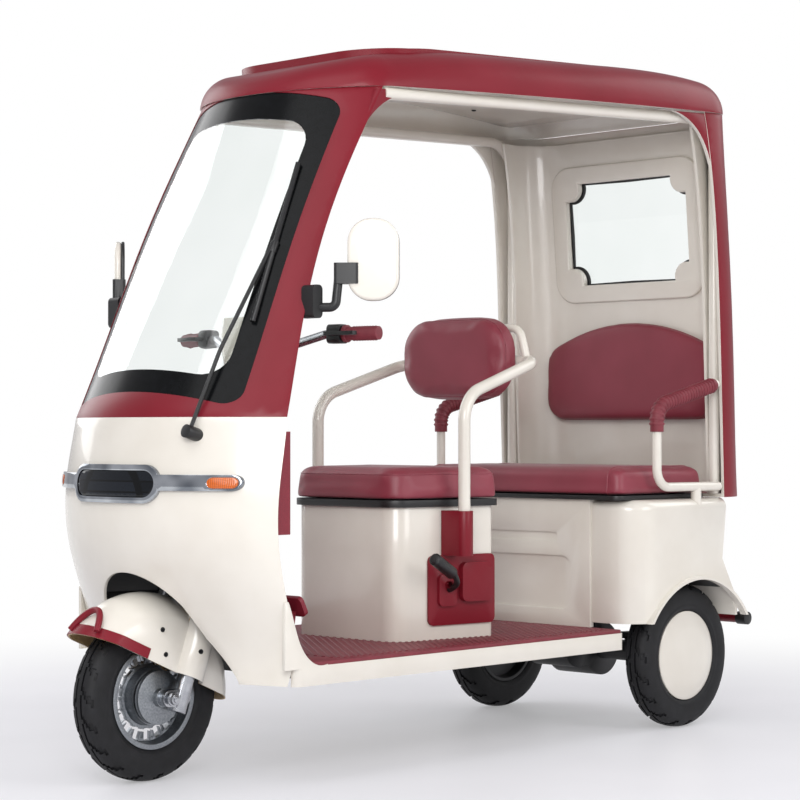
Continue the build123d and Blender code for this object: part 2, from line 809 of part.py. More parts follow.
def on_screen(y, level, off):
    """Point standing off the screen's face."""
    return (front_at(PILLAR_LEVELS, level, y) + off, y, level)


blade_low = on_screen(*BLADE_LOW, BLADE_R + 2)
blade_high = on_screen(*BLADE_HIGH, BLADE_R + 2)
head_share = (WIPER_HEAD - BLADE_LOW[1]) / (BLADE_HIGH[1] - BLADE_LOW[1])
blade_mid = tuple(a + (b - a) * head_share for a, b in zip(blade_low, blade_high))
wiper_root = front_at(COWL_LEVELS, WIPER_Z, WIPER_Y)
wiper_arm = tube(
    [(wiper_root + 22, WIPER_Y, WIPER_Z + 8), on_screen(236, 1040, 26), (blade_mid[0] + 8, *blade_mid[1:])],
    300,
    5,
)
wiper_blade = tube([blade_low, blade_high], 1, BLADE_R)
wiper_head = tube([(blade_mid[0] + 12, blade_mid[1], WIPER_HEAD - 26), blade_mid], 1, 10)
wiper_boss = tube([(wiper_root - 18, WIPER_Y, WIPER_Z), (wiper_root + 32, WIPER_Y, WIPER_Z + 14)], 1, 16)
with BuildPart() as wiper:
    add(wiper_arm)
    add(wiper_boss)
    add(wiper_head)
    add(wiper_blade)
    add(lamp_seat, mode=Mode.SUBTRACT)
    add(pillars_clear, mode=Mode.SUBTRACT)
keep(wiper.part, "wiper")

# Door mirrors: clamp on the pillar, bent arm, knuckle and a toed-in rounded head
MIRROR_X = FX - 304
MIRROR_Y = 476
MIRROR_Z = 1256
MIRROR_W = 124
MIRROR_H = 197
MIRROR_T = 26
MIRROR_TOE = 40
CLAMP_Z = 1142
ARM_STEM = MIRROR_W / 2 + 20
clamp_x = front_at(PILLAR_LEVELS, CLAMP_Z, 352)
with BuildPart() as mirrors:
    for turn in (1, -1):
        out = Vector(-sin(radians(MIRROR_TOE)), turn * cos(radians(MIRROR_TOE)), 0)
        aim = Vector(cos(radians(MIRROR_TOE)), turn * sin(radians(MIRROR_TOE)), 0)
        middle = Vector(MIRROR_X, turn * MIRROR_Y, MIRROR_Z)
        head = Plane(origin=middle, x_dir=out, z_dir=aim)
        stem = middle - out * ARM_STEM
        with BuildSketch(head):
            RectangleRounded(MIRROR_W, MIRROR_H, 57)
        extrude(amount=MIRROR_T / 2, both=True)
        with BuildSketch(Plane(origin=stem + out * 18, x_dir=out, z_dir=(0, 0, 1)).offset(-58)):
            RectangleRounded(60, 34, 8)
        extrude(amount=50)
        arm = tube(
            [
                (clamp_x - 16, turn * 352, CLAMP_Z),
                (stem.X + 12, turn * abs(stem.Y), CLAMP_Z),
                (stem.X, stem.Y, MIRROR_Z - 30),
            ],
            16,
            11,
        )
        add(arm)
        with BuildSketch(side(turn * 345)):
            with Locations((clamp_x - 16, CLAMP_Z + 14)):
                RectangleRounded(32, 80, 12)
        extrude(amount=-turn * 40)
    add(pillars_clear, mode=Mode.SUBTRACT)
keep(mirrors.part, "mirrors")

# Roof: one moulding with rounded shoulders and a raised panel in two low steps
PANEL_FRONT = FX - 580
PANEL_BACK = RX + 34
PANEL_HALF = 285
PANEL_STEP = 6
PANEL_LEDGE = 82
panel_rise = tan(radians(PANEL_TILT))
panel_mid = (PANEL_FRONT + PANEL_BACK) / 2
panel_top = Plane(
    origin=(panel_mid, 0, ROOF_TOP - panel_rise * (panel_mid - PANEL_BACK)),
    x_dir=(1, 0, -panel_rise),
    z_dir=(panel_rise, 0, 1),
)
panel_l = (PANEL_FRONT - PANEL_BACK) * hypot(1, panel_rise)
with BuildPart() as roof:
    add(roof_out)
    for drop, grow, widen in ((0, 0, 0), (PANEL_STEP, 2 * PANEL_LEDGE, 24)):
        with BuildSketch(panel_top.offset(-drop)):
            RectangleRounded(panel_l + grow, 2 * PANEL_HALF + widen, 150)
        extrude(amount=-40)
    add(roof_room, mode=Mode.SUBTRACT)
    add(over_eave, mode=Mode.INTERSECT)
keep(roof.part, "roof")

# Ceiling lining: shallow tray between the roof rails
LINER_T = 8
LINER_FRONT = ROOF_FRONT - 150
LINER_BACK = ROOF_BACK + 74
liner_room = roof_body(ROOF_WALL + SEAT_GAP)
with BuildPart() as headliner:
    with BuildSketch(side(ROOF_HALF)):
        with BuildLine():
            high = ROOF_TOP - ROOF_WALL - 46
            Spline(
                (LINER_FRONT, high - 80),
                (LINER_FRONT - 220, high - 43),
                (LINER_BACK + 300, high),
                (LINER_BACK, high - 18),
            )
            Line((LINER_BACK, high - 18), (LINER_BACK, high - 18 - LINER_T))
            Spline(
                (LINER_BACK, high - 18 - LINER_T),
                (LINER_BACK + 300, high - LINER_T),
                (LINER_FRONT - 220, high - 43 - LINER_T),
                (LINER_FRONT, high - 80 - LINER_T),
            )
            Line((LINER_FRONT, high - 80 - LINER_T), (LINER_FRONT, high - 80))
        make_face()
    extrude(amount=2 * ROOF_HALF)
    add(liner_room, mode=Mode.INTERSECT)
keep(headliner.part, "headliner")

# Side frames: round tube along each roof rail and down the rear pillar
FRAME_Y = BODY_HALF - 40
FRAME_X = RX - 123
FRAME_FOOT = SHELL_LEVELS[0][0] + SHELL_WALL + SEAT_GAP
frame_left = tube(
    [
        (FX - 495, ROOF_HALF_FRONT - 20, EAVE_FRONT - 7),
        (FRAME_X, FRAME_Y, EAVE_BACK - 18),
        (FRAME_X, FRAME_Y, FRAME_FOOT),
    ],
    110,
    FRAME_R,
)
with BuildPart() as side_frames:
    add(frame_left)
    mirror(about=Plane.XZ)
keep(side_frames.part, "side_frames")


def stern(levels, inset, fore=0, lift=0):
    """Round-cornered hull open to the front, through plan sections from the rear axle."""
    with BuildPart() as hull:
        for index, (level, edge, back, half, corner) in enumerate(levels):
            up = level + (lift if index == 0 else 0)
            with BuildSketch(Plane.XY.offset(up)):
                with BuildLine():
                    front = RX + edge + fore
                    rear = RX + back + inset
                    wide = half - inset
                    bend = corner - inset
                    nook = bend * (1 - cos(radians(45)))
                    Line((front, -wide), (front, wide))
                    Line((front, wide), (rear + bend, wide))
                    ThreePointArc((rear + bend, wide), (rear + nook, wide - nook), (rear, wide - bend))
                    Line((rear, wide - bend), (rear, bend - wide))
                    ThreePointArc((rear, bend - wide), (rear + nook, nook - wide), (rear + bend, -wide))
                    Line((rear + bend, -wide), (front, -wide))
                make_face()
        loft()
    return hull.part


# Rear window opening: leaning rectangle with its corners notched round four bosses
BOSS_R = 42
wall_low, wall_high = SHELL_LEVELS[2], SHELL_LEVELS[4]
wall_lean = (wall_high[2] - wall_low[2]) / (wall_high[0] - wall_low[0])
rear_pane = Plane(
    origin=(RX + wall_low[2] + wall_lean * (WINDOW_Z - wall_low[0]), 0, WINDOW_Z),
    x_dir=(0, -1, 0),
    z_dir=(-1, 0, wall_lean),
)


def window_face(inset):
    with BuildSketch() as outline:
        Rectangle(WINDOW_W - 2 * inset, WINDOW_H - 2 * inset)
        with GridLocations(WINDOW_W - 26, WINDOW_H - 24, 2, 2):
            Circle(BOSS_R + inset, mode=Mode.SUBTRACT)
    return outline.sketch


# Rear shell: outer moulding of the rear wall, closed below
shell_out = stern(SHELL_LEVELS, 0)
shell_in = stern(SHELL_LEVELS, SHELL_WALL, fore=60, lift=SHELL_WALL)
with BuildPart() as rear_shell:
    add(shell_out)
    add(shell_in, mode=Mode.SUBTRACT)
    with BuildSketch(rear_pane):
        add(window_face(0))
    extrude(amount=60, both=True, mode=Mode.SUBTRACT)
    add(under_roof, mode=Mode.SUBTRACT)
keep(rear_shell.part, "rear_shell")

# Rear window pane
with BuildPart() as rear_window:
    with BuildSketch(rear_pane.offset(-SHELL_WALL + 1)):
        add(window_face(SEAT_GAP))
    extrude(amount=GLASS_T)
keep(rear_window.part, "rear_window")

# Rear lining: inner moulding of the rear wall
lining_out = stern(LINING_LEVELS, 0)
lining_in = stern(LINING_LEVELS, LINING_T, fore=60)
LINING_FOOT = FRAME_FOOT
with BuildPart() as rear_lining:
    add(lining_out)
    add(lining_in, mode=Mode.SUBTRACT)
    with BuildSketch(Plane.XY.offset(LINING_FOOT)):
        with Locations((RX - 200, 0)):
            Rectangle(400, 1000)
    extrude(amount=LINING_TOP - LINING_FOOT, mode=Mode.INTERSECT)
    with BuildSketch(rear_pane):
        add(window_face(0))
    extrude(amount=80, both=True, mode=Mode.SUBTRACT)
keep(rear_lining.part, "rear_lining")


# Rear body: a boxed wheel housing each side joined by the tail panel
def fender(inset):
    front = RX + FENDER_FRONT - inset
    back = RX - FENDER_BACK + inset
    foot = FENDER_FOOT - 10 * inset
    with BuildPart() as box:
        with BuildSketch(side(FENDER_IN + inset)):
            with BuildLine():
                Polyline(
                    (front, foot), (front, FENDER_TOP - inset), (back, FENDER_TOP - inset),
                    (back + 22, 480), (back - 66, 330), (back - 66, foot), close=True,
                )
            make_face()
        extrude(amount=-(BODY_HALF - FENDER_IN - 2 * inset))
        with BuildSketch(Plane.XY):
            with BuildLine():
                bend = FENDER_BEND - inset
                nook = bend * (1 - cos(radians(45)))
                out = BODY_HALF - inset
                Polyline(
                    (front - bend, out), (back - 300, out), (back - 300, 0), (front, 0), (front, out - bend)
                )
                ThreePointArc((front, out - bend), (front - nook, out - nook), (front - bend, out))
            make_face()
        extrude(amount=900, mode=Mode.INTERSECT)
        rim = box.faces().sort_by(Axis.Z)[-1].edges()
        rim = rim.filter_by(lambda e: (e @ 0.5).Y > FENDER_IN + inset + 1 and (e @ 0.5).X > back + 1)
        fillet(rim, FENDER_EDGE - inset)
    return box.part


fender_out = fender(0)
fender_in = fender(BODY_WALL)
fender_room = fender(BODY_WALL + SLIDE_GAP)
RAIL_KICK = TYRE_R + 127
TAIL_FOOT = RAIL_KICK + RAIL_H + SEAT_GAP
PLATE_BOLT_R = 3.5
PLATE_BOLT_SPAN = 140
PLATE_BOLT_Z = 520
with BuildPart() as rear_body:
    add(fender_out)
    add(fender_in, mode=Mode.SUBTRACT)
    with BuildSketch(side(BODY_HALF - BODY_WALL - 2)):
        with Locations((RX + 12, TYRE_R - ARCH_DROP)):
            Circle(ARCH_R)
    extrude(amount=-60, mode=Mode.SUBTRACT)
    with BuildSketch(side(BODY_HALF - BODY_WALL)):
        with Locations((RX + 12, TYRE_R - ARCH_DROP)):
            Circle(ARCH_R + 9)
            Circle(ARCH_R, mode=Mode.SUBTRACT)
        with Locations((RX + 12, FENDER_FOOT - 400)):
            Rectangle(900, 800, mode=Mode.SUBTRACT)
    extrude(amount=-BODY_WALL - ARCH_LIP)
    mirror(about=Plane.XZ)
    with BuildSketch(across(RX - FENDER_BACK + 22)):
        with Locations((0, (FENDER_TOP + TAIL_FOOT) / 2)):
            Rectangle(2 * FENDER_IN + 8, FENDER_TOP - TAIL_FOOT)
        with Locations((-PLATE_BOLT_SPAN / 2, PLATE_BOLT_Z), (PLATE_BOLT_SPAN / 2, PLATE_BOLT_Z)):
            Circle(PLATE_BOLT_R, mode=Mode.SUBTRACT)
    extrude(amount=BODY_WALL)
    with BuildSketch(Plane.XY.offset(FENDER_TOP - BODY_WALL)):
        with Locations((RX - FENDER_BACK + 20, 0)):
            Rectangle(40, 2 * FENDER_IN + 8)
    extrude(amount=BODY_WALL)
keep(rear_body.part, "rear_body")

# Rear wheel housing liners: curved black sheets over each tyre
with BuildPart() as rear_liners:
    liner_half = (BODY_HALF - FENDER_IN - 2 * BODY_WALL) / 2 - 4
    for turn in (1, -1):
        with BuildSketch(side(turn * (FENDER_IN + BODY_HALF) / 2)):
            with Locations((RX, TYRE_R)):
                Circle(TYRE_R + 38)
                Circle(TYRE_R + 34, mode=Mode.SUBTRACT)
            with Locations((RX, TYRE_R - 200)):
                Rectangle(900, 620, mode=Mode.SUBTRACT)
        extrude(amount=liner_half, both=True)
    add([fender_room, fender_room.mirror(Plane.XZ)], mode=Mode.INTERSECT)
keep(rear_liners.part, "rear_liners")

# Tail lamps on the back of each wheel housing
LAMP_BACK = RX - FENDER_BACK + 12
with BuildPart() as tail_lamps:
    with BuildSketch(across(LAMP_BACK - 40)):
        with Locations((WHEEL_Y + 11, FENDER_TOP - 95), (-WHEEL_Y - 11, FENDER_TOP - 95)):
            RectangleRounded(76, 112, 20)
    extrude(amount=60)
    add(fender_out, mode=Mode.SUBTRACT)
    add(fender_out.mirror(Plane.XZ), mode=Mode.SUBTRACT)
keep(tail_lamps.part, "tail_lamps")

# Rear bumper: round bar with knob ends on two hangers
RAIL_LOW = FLOOR_Z - MAT_T - PAN_T - RAIL_H - SEAT_GAP
bumper_end = (RX - BUMPER_X, BUMPER_HALF, BUMPER_Z)
bumper_bar = tube([bumper_end, (RX - BUMPER_X, -BUMPER_HALF, BUMPER_Z)], 1, BUMPER_R)
with BuildPart() as rear_bumper:
    add(bumper_bar)
    for turn in (1, -1):
        with BuildSketch(side(turn * (BUMPER_HALF + 14))):
            with Locations((RX - BUMPER_X, BUMPER_Z)):
                Circle(BUMPER_R + 4)
        extrude(amount=turn * 34)
        with BuildSketch(side(turn * RAIL_Y)):
            with BuildLine():
                Polyline(
                    (RX - BUMPER_X - 10, BUMPER_Z - 10), (RX - BUMPER_X - 10, RAIL_KICK - SEAT_GAP),
                    (RX - 250, RAIL_KICK - SEAT_GAP), (RX - 250, RAIL_KICK - 14), close=True,
                )
            make_face()
        extrude(amount=4, both=True)
keep(rear_bumper.part, "rear_bumper")

# Floor pan: flat tray with deep side sills, notched round the wheel tunnel
PAN_FRONT = FX - 134
PAN_BACK = RX + BENCH_FRONT - 6
PAN_TOP = FLOOR_Z - MAT_T
PAN_MID = (PAN_FRONT + PAN_BACK) / 2
NOTCH_MID = (PAN_FRONT + 40 + TUNNEL_X - SLIDE_GAP) / 2
NOTCH_L = PAN_FRONT + 40 - TUNNEL_X + SLIDE_GAP


def floor_plan(inset, notch):
    with BuildSketch() as plan:
        with Locations((PAN_MID, 0)):
            RectangleRounded(PAN_FRONT - PAN_BACK - 2 * inset, 2 * FLOOR_HALF - 2 * inset, 22)
        with Locations((NOTCH_MID, 0)):
            Rectangle(NOTCH_L + 2 * notch, 2 * (TUNNEL_HALF + SLIDE_GAP + notch), mode=Mode.SUBTRACT)
        with Locations((SPINE_X + 20, 0)):
            Rectangle(112, 104, mode=Mode.SUBTRACT)
    return plan.sketch


# Sill corners: the sill's side rises in a curve to meet the cowl's rear edge
WEB_T = 10
cowl_room = nose(COWL_LEVELS, -SEAT_GAP, back=SEAT_GAP)


def sill_corner(gap, foot):
    with BuildPart() as web:
        with BuildSketch(side(FLOOR_HALF)):
            with BuildLine():
                Spline(
                    (FX - 240 - gap, PAN_TOP + 2 + gap), (FX - 193 - gap, 297 + gap),
                    (FX - 160 - gap, 326 + gap), (FX - 134 - gap, 380 + gap), (FX - 110 - gap, 446 + gap),
                )
                Polyline(
                    (FX - 110 - gap, 446 + gap), (FX - 100, 446 + gap), (FX - 100, foot),
                    (FX - 240 - gap, foot), (FX - 240 - gap, PAN_TOP + 2 + gap),
                )
            make_face()
        extrude(amount=WEB_T + gap)
    return web.part


with BuildPart() as floor_pan:
    with BuildSketch(Plane.XY.offset(FLOOR_Z - SILL_H)):
        add(floor_plan(0, 0))
    extrude(amount=SILL_H - MAT_T)
    with BuildSketch(Plane.XY.offset(FLOOR_Z - SILL_H)):
        with Locations((PAN_MID, 0)):
            Rectangle(PAN_FRONT - PAN_BACK + 100, 2 * FLOOR_HALF - 36)
    extrude(amount=SILL_H - MAT_T - PAN_T, mode=Mode.SUBTRACT)
    sill_left = sill_corner(0, PAN_TOP - 4)
    add([sill_left, sill_left.mirror(Plane.XZ)])
    add(cowl_room, mode=Mode.SUBTRACT)
keep(floor_pan.part, "floor_pan")

# Floor mat laid on the pan
with BuildPart() as floor_mat:
    with BuildSketch(Plane.XY.offset(PAN_TOP)):
        add(floor_plan(3, 4))
    extrude(amount=MAT_T)
    mat_notch = sill_corner(SEAT_GAP, PAN_TOP - 4)
    add([mat_notch, mat_notch.mirror(Plane.XZ)], mode=Mode.SUBTRACT)
keep(floor_mat.part, "floor_mat")

# Chassis: twin rails kicked up over the axle, cross members, spine and steering head
RAIL_FRONT = SPINE_X + 40
KICK_X = RX + BENCH_FRONT - 18
RAIL_BACK = RX - 300
spine = tube(
    [
        (SPINE_X, 0, RAIL_LOW + RAIL_H / 2),
        (SPINE_X, 0, BOLSTER_LOW - 30),
        (axis_x(640), 0, 640),
    ],
    50,
    20,
)
with BuildPart() as chassis:
    for turn in (1, -1):
        with BuildSketch(side(turn * RAIL_Y)):
            with BuildLine():
                Polyline(
                    (RAIL_FRONT, RAIL_LOW), (RAIL_FRONT, RAIL_LOW + RAIL_H), (KICK_X, RAIL_LOW + RAIL_H),
                    (KICK_X - 8, RAIL_KICK + RAIL_H), (RAIL_BACK, RAIL_KICK + RAIL_H), (RAIL_BACK, RAIL_KICK),
                    (KICK_X - 46, RAIL_KICK), (KICK_X - 38, RAIL_LOW), close=True,
                )
            make_face()
        extrude(amount=RAIL_W / 2, both=True)
        for reach in (SPRING_HALF, -SPRING_HALF):
            with BuildSketch(side(turn * RAIL_Y)):
                with Locations((RX + reach, RAIL_KICK)):
                    Rectangle(36, 2 * (RAIL_KICK - TYRE_R - 84 - 18 - SEAT_GAP))
            extrude(amount=15, both=True)
    for station, low in (
        (SPINE_X, RAIL_LOW),
        (FX - 850, RAIL_LOW),
        (KICK_X + 40, RAIL_LOW),
        (RAIL_BACK + 30, RAIL_KICK),
    ):
        with BuildSketch(Plane.XY.offset(low)):
            with Locations((station, 0)):
                Rectangle(40, 2 * RAIL_Y)
        extrude(amount=RAIL_H)
    add(spine)
    with BuildSketch(STEER.offset(HEAD_LOW)):
        Circle(HEAD_R)
    extrude(amount=HEAD_HIGH - HEAD_LOW)
    with BuildSketch(STEER.offset(HEAD_LOW - 20)):
        Circle(HEAD_R - 8)
    extrude(amount=HEAD_HIGH - HEAD_LOW + 40, mode=Mode.SUBTRACT)
keep(chassis.part, "chassis")

# Leaf springs clamped on top of the axle
EYE_Z = TYRE_R + 84
with BuildPart() as leaf_springs:
    for turn in (1, -1):
        with BuildSketch(side(turn * RAIL_Y)):
            with BuildLine():
                seat = TYRE_R + AXLE_R + 8
                ThreePointArc((RX - SPRING_HALF, EYE_Z - 9), (RX, seat), (RX + SPRING_HALF, EYE_Z - 9))
                Line((RX + SPRING_HALF, EYE_Z - 9), (RX + SPRING_HALF, EYE_Z + 1))
                top = seat + SPRING_T
                ThreePointArc((RX + SPRING_HALF, EYE_Z + 1), (RX, top), (RX - SPRING_HALF, EYE_Z + 1))
                Line((RX - SPRING_HALF, EYE_Z + 1), (RX - SPRING_HALF, EYE_Z - 9))
            make_face()
            with Locations((RX + SPRING_HALF, EYE_Z), (RX - SPRING_HALF, EYE_Z)):
                Circle(18)
        extrude(amount=SPRING_W / 2, both=True)
keep(leaf_springs.part, "leaf_springs")

# Rear axle: housing tube, differential, motor and the two wheel stubs
AXLE_HALF = WHEEL_Y - 24 - RUN_GAP - 24
with BuildPart() as rear_axle:
    with BuildSketch(side(AXLE_HALF)):
        with Locations((RX, TYRE_R)):
            Circle(AXLE_R)
    extrude(amount=2 * AXLE_HALF)
    with BuildSketch(side(WHEEL_Y + 10)):
        with Locations((RX, TYRE_R)):
            Circle(STUB_R)
    extrude(amount=2 * WHEEL_Y + 20)
    with BuildSketch(side(70)):
        with Locations((RX, TYRE_R)):
            Circle(78)
        with Locations((RX + 112, TYRE_R + 14)):
            Circle(62)
        with Locations((RX + 60, TYRE_R)):
            Rectangle(110, 90)
    extrude(amount=150)
    for turn in (1, -1):
        with BuildSketch(Plane.XY.offset(TYRE_R)):
            with Locations((RX, turn * RAIL_Y)):
                Rectangle(60, SPRING_W)
        extrude(amount=AXLE_R + 8 - SEAT_GAP)
keep(rear_axle.part, "rear_axle")

# Battery case on the rails under the passenger seat
with BuildPart() as battery:
    with BuildSketch(Plane.XY.offset(RAIL_KICK + RAIL_H)):
        with Locations((RX + 85, 0)):
            RectangleRounded(300, 440, 12)
    extrude(amount=190)
keep(battery.part, "battery")

# Driver's seat box: tapered plan, open on top under the cushion
BOX_BACK = BOX_FRONT - BOX_L
BOX_SPLAY = (BOX_HALF - BOX_HALF_FRONT) / BOX_L


def seat_plan(grow, front_bend, back_bend):
    """Plan of the driver's seat, narrow in front; grow moves every side outward."""
    with BuildSketch() as plan:
        with BuildLine():
            near = BOX_HALF_FRONT + grow * (1 - BOX_SPLAY)
            wide = BOX_HALF + grow * (1 + BOX_SPLAY)
            Polyline(
                (BOX_FRONT + grow, -near), (BOX_FRONT + grow, near),
                (BOX_BACK - grow, wide), (BOX_BACK - grow, -wide), close=True,
            )
        make_face()
        fillet(plan.vertices().group_by(Axis.X)[-1], front_bend)
        fillet(plan.vertices().group_by(Axis.X)[0], back_bend)
    return plan.sketch


with BuildPart() as seat_box:
    with BuildSketch(Plane.XY.offset(FLOOR_Z)):
        add(seat_plan(0, 58, 20))
    extrude(amount=BOX_TOP - FLOOR_Z)
    with BuildSketch(Plane.XY.offset(FLOOR_Z + BOX_WALL)):
        add(seat_plan(-BOX_WALL, 58 - BOX_WALL, 20 - BOX_WALL))
    extrude(amount=BOX_TOP - FLOOR_Z, mode=Mode.SUBTRACT)
keep(seat_box.part, "seat_box")

# Seat fittings: control plate with socket cover and parking lever, and the two tube sockets
CONTROL_L = 226
CONTROL_H = 184
CONTROL_Z = 428
CONTROL_X = BOX_FRONT - 218
box_side = Plane(
    origin=(CONTROL_X, BOX_HALF - BOX_SPLAY * (CONTROL_X - BOX_BACK), CONTROL_Z),
    x_dir=(-1, BOX_SPLAY, 0),
    z_dir=(BOX_SPLAY, 1, 0),
)
with BuildPart() as seat_fittings:
    with BuildSketch(box_side.offset(SEAT_GAP)):
        RectangleRounded(CONTROL_L, CONTROL_H, 16)
    extrude(amount=7)
    with BuildSketch(box_side.offset(SEAT_GAP)):
        with Locations((CONTROL_L * 0.18, 20)):
            RectangleRounded(104, 104, 18)
    extrude(amount=24)
    with BuildSketch(box_side.offset(SEAT_GAP)):
        with Locations((-CONTROL_L * 0.24, 0)):
            RectangleRounded(60, 84, 14)
    extrude(amount=16)
    with BuildSketch(box_side.offset(SEAT_GAP)):
        with Locations((-CONTROL_L * 0.24, 14)):
            Circle(11)
    extrude(amount=44)
    with BuildSketch(box_side.offset(SEAT_GAP + 34)):
        with Locations((-CONTROL_L * 0.32, 36)):
            SlotOverall(96, 34, rotation=150)
    extrude(amount=30)
    for turn in (1, -1):
        wall_y = BOX_HALF - BOX_SPLAY * (SEAT_TUBE_X - BOX_BACK)
        with BuildSketch(Plane.XY.offset(BOX_TOP - 128)):
            with Locations((SEAT_TUBE_X, turn * SEAT_TUBE_Y)):
                Circle(SEAT_TUBE_R + 7)
            with Locations((SEAT_TUBE_X, turn * (wall_y + SEAT_TUBE_Y) / 2)):
                Rectangle(46, SEAT_TUBE_Y - wall_y)
        extrude(amount=118)
        with BuildSketch(Plane.XY.offset(BOX_TOP - 110)):
            with Locations((SEAT_TUBE_X, turn * SEAT_TUBE_Y)):
                Circle(SEAT_TUBE_R + SEAT_GAP)
        extrude(amount=120, mode=Mode.SUBTRACT)
    with BuildSketch(Plane.XY.offset(BOX_TOP - 140)):
        add(seat_plan(SEAT_GAP, 58, 20))
    extrude(amount=140, mode=Mode.SUBTRACT)
keep(seat_fittings.part, "seat_fittings")

# Driver's cushion on its black pan, hinged ahead of the box's front edge
with BuildPart() as seat_pan:
    with BuildSketch(Plane.XY.offset(BOX_TOP + SEAT_GAP)):
        add(seat_plan(CUSHION_LIP - 1, 66, 26))
    extrude(amount=SEAT_PAN_T)
keep(seat_pan.part, "seat_pan")

with BuildPart() as driver_cushion:
    with BuildSketch(Plane.XY.offset(BOX_TOP + SEAT_GAP + SEAT_PAN_T)):
        add(seat_plan(CUSHION_LIP, 67, 27))
    extrude(amount=CUSHION_T)
    fillet(driver_cushion.faces().sort_by(Axis.Z)[-1].edges(), 24)
keep(driver_cushion.part, "driver_cushion")

# Driver's backrest on a bent tube hoop
TUBE_BACK = BACK_X - BACK_T - SEAT_TUBE_R
seat_loop = tube(
    [
        (SEAT_TUBE_X, SEAT_TUBE_Y, BOX_TOP - 108),
        (SEAT_TUBE_X, SEAT_TUBE_Y, 938),
        (TUBE_BACK, SEAT_TUBE_Y - 24, 1040),
        (TUBE_BACK, 24 - SEAT_TUBE_Y, 1040),
        (SEAT_TUBE_X, -SEAT_TUBE_Y, 938),
        (SEAT_TUBE_X, -SEAT_TUBE_Y, BOX_TOP - 108),
    ],
    (90, 50, 50, 90),
    SEAT_TUBE_R,
)
seat_hoop = tube(
    [(TUBE_BACK, 214, 1040), (TUBE_BACK, 188, 1132), (TUBE_BACK, -188, 1132), (TUBE_BACK, -214, 1040)], 40, 12
)
with BuildPart() as seat_tube:
    add(seat_loop)
    add(seat_hoop)
keep(seat_tube.part, "seat_tube")

with BuildPart() as driver_backrest:
    with BuildSketch(across(BACK_X - BACK_T + SEAT_GAP)):
        with Locations((0, BACK_Z)):
            RectangleRounded(BACK_W, BACK_H, BACK_BEND)
    extrude(amount=BACK_T - SEAT_GAP)
    fillet(driver_backrest.faces().sort_by(Axis.X)[-1].edges(), 22)
keep(driver_backrest.part, "driver_backrest")

# Passenger seat base: front panel with a lip, a slot and a shallow recess
BASE_X = RX + BENCH_FRONT
BASE_HALF = FENDER_IN - SEAT_GAP
with BuildPart() as bench_base:
    with BuildSketch(across(BASE_X - 16)):
        with Locations((0, (FLOOR_Z + FENDER_TOP) / 2)):
            Rectangle(2 * BASE_HALF, FENDER_TOP - FLOOR_Z)
    extrude(amount=16)
    with BuildSketch(across(BASE_X)):
        with Locations((0, 548)):
            RectangleRounded(300, 26, 10)
        with Locations((0, 420)):
            RectangleRounded(400, 150, 34)
    extrude(amount=-6, mode=Mode.SUBTRACT)
    with BuildSketch(Plane.XY.offset(FENDER_TOP - 12)):
        with Locations((BASE_X - 40, 0)):
            Rectangle(60, 2 * BASE_HALF)
    extrude(amount=12)
keep(bench_base.part, "bench_base")

# Passenger cushion on its black pan, hinged along the front lip
BENCH_X = BASE_X + 14
with BuildPart() as bench_pan:
    with BuildSketch(Plane.XY.offset(FENDER_TOP + SEAT_GAP)):
        with Locations((BENCH_X - BENCH_L / 2, 0)):
            RectangleRounded(BENCH_L, 2 * BENCH_HALF - 6, 30)
    extrude(amount=BENCH_PAN_T)
keep(bench_pan.part, "bench_pan")

with BuildPart() as bench_cushion:
    with BuildSketch(Plane.XY.offset(FENDER_TOP + SEAT_GAP + BENCH_PAN_T)):
        with Locations((BENCH_X - BENCH_L / 2, 0)):
            RectangleRounded(BENCH_L, 2 * BENCH_HALF, 36)
    extrude(amount=BENCH_T)
    fillet(bench_cushion.faces().sort_by(Axis.Z)[-1].edges(), 24)
keep(bench_cushion.part, "bench_cushion")

# Passenger backrest: arched pad against the rear lining
rest_room = stern(LINING_LEVELS, LINING_T + SEAT_GAP, fore=60)
BENCH_BACK_X = RX - 252
with BuildPart() as bench_backrest:
    with BuildSketch(across(BENCH_BACK_X - 40)):
        with BuildSketch(mode=Mode.PRIVATE) as pad:
            with BuildLine():
                half = BENCH_BACK_W / 2
                low = BENCH_BACK_Z - BENCH_BACK_H / 2
                high = BENCH_BACK_Z + BENCH_BACK_H / 2
                Polyline((-half, high - 90), (-half, low), (half, low), (half, high - 90))
                ThreePointArc((half, high - 90), (0, high), (-half, high - 90))
            make_face()
            fillet(pad.vertices(), 72)
        add(pad.sketch)
    extrude(amount=BENCH_BACK_T + 40)
    add(rest_room, mode=Mode.INTERSECT)
keep(bench_backrest.part, "bench_backrest")

# Armrests: bent tube loops bolted to the wheel housings, with ribbed sleeves on top
ARM_Y = BODY_HALF - 16
ARM_R = 13
ARM_X = RX + 184
ARM_END = RX + SHELL_LEVELS[2][1]
ARM_LOW_END = RX + SHELL_LEVELS[1][1] + ARM_R / 2
ARM_CUFF = 845
arm_high = (ARM_X, ARM_Y, 916)
arm_low = (ARM_X, ARM_Y, 690)
arm_left = tube([(ARM_END, ARM_Y, 984), arm_high, arm_low, (ARM_LOW_END, ARM_Y, 688)], 52, ARM_R)
fender_seat = fender(-SEAT_GAP)
with BuildPart() as armrests:
    add(arm_left)
    with BuildSketch(Plane.XY.offset(FENDER_TOP - FENDER_EDGE)):
        with Locations((RX, ARM_Y)):
            Circle(15)
    extrude(amount=FENDER_EDGE + 30)
    add(fender_seat, mode=Mode.SUBTRACT)
    mirror(about=Plane.XZ)
keep(armrests.part, "armrests")

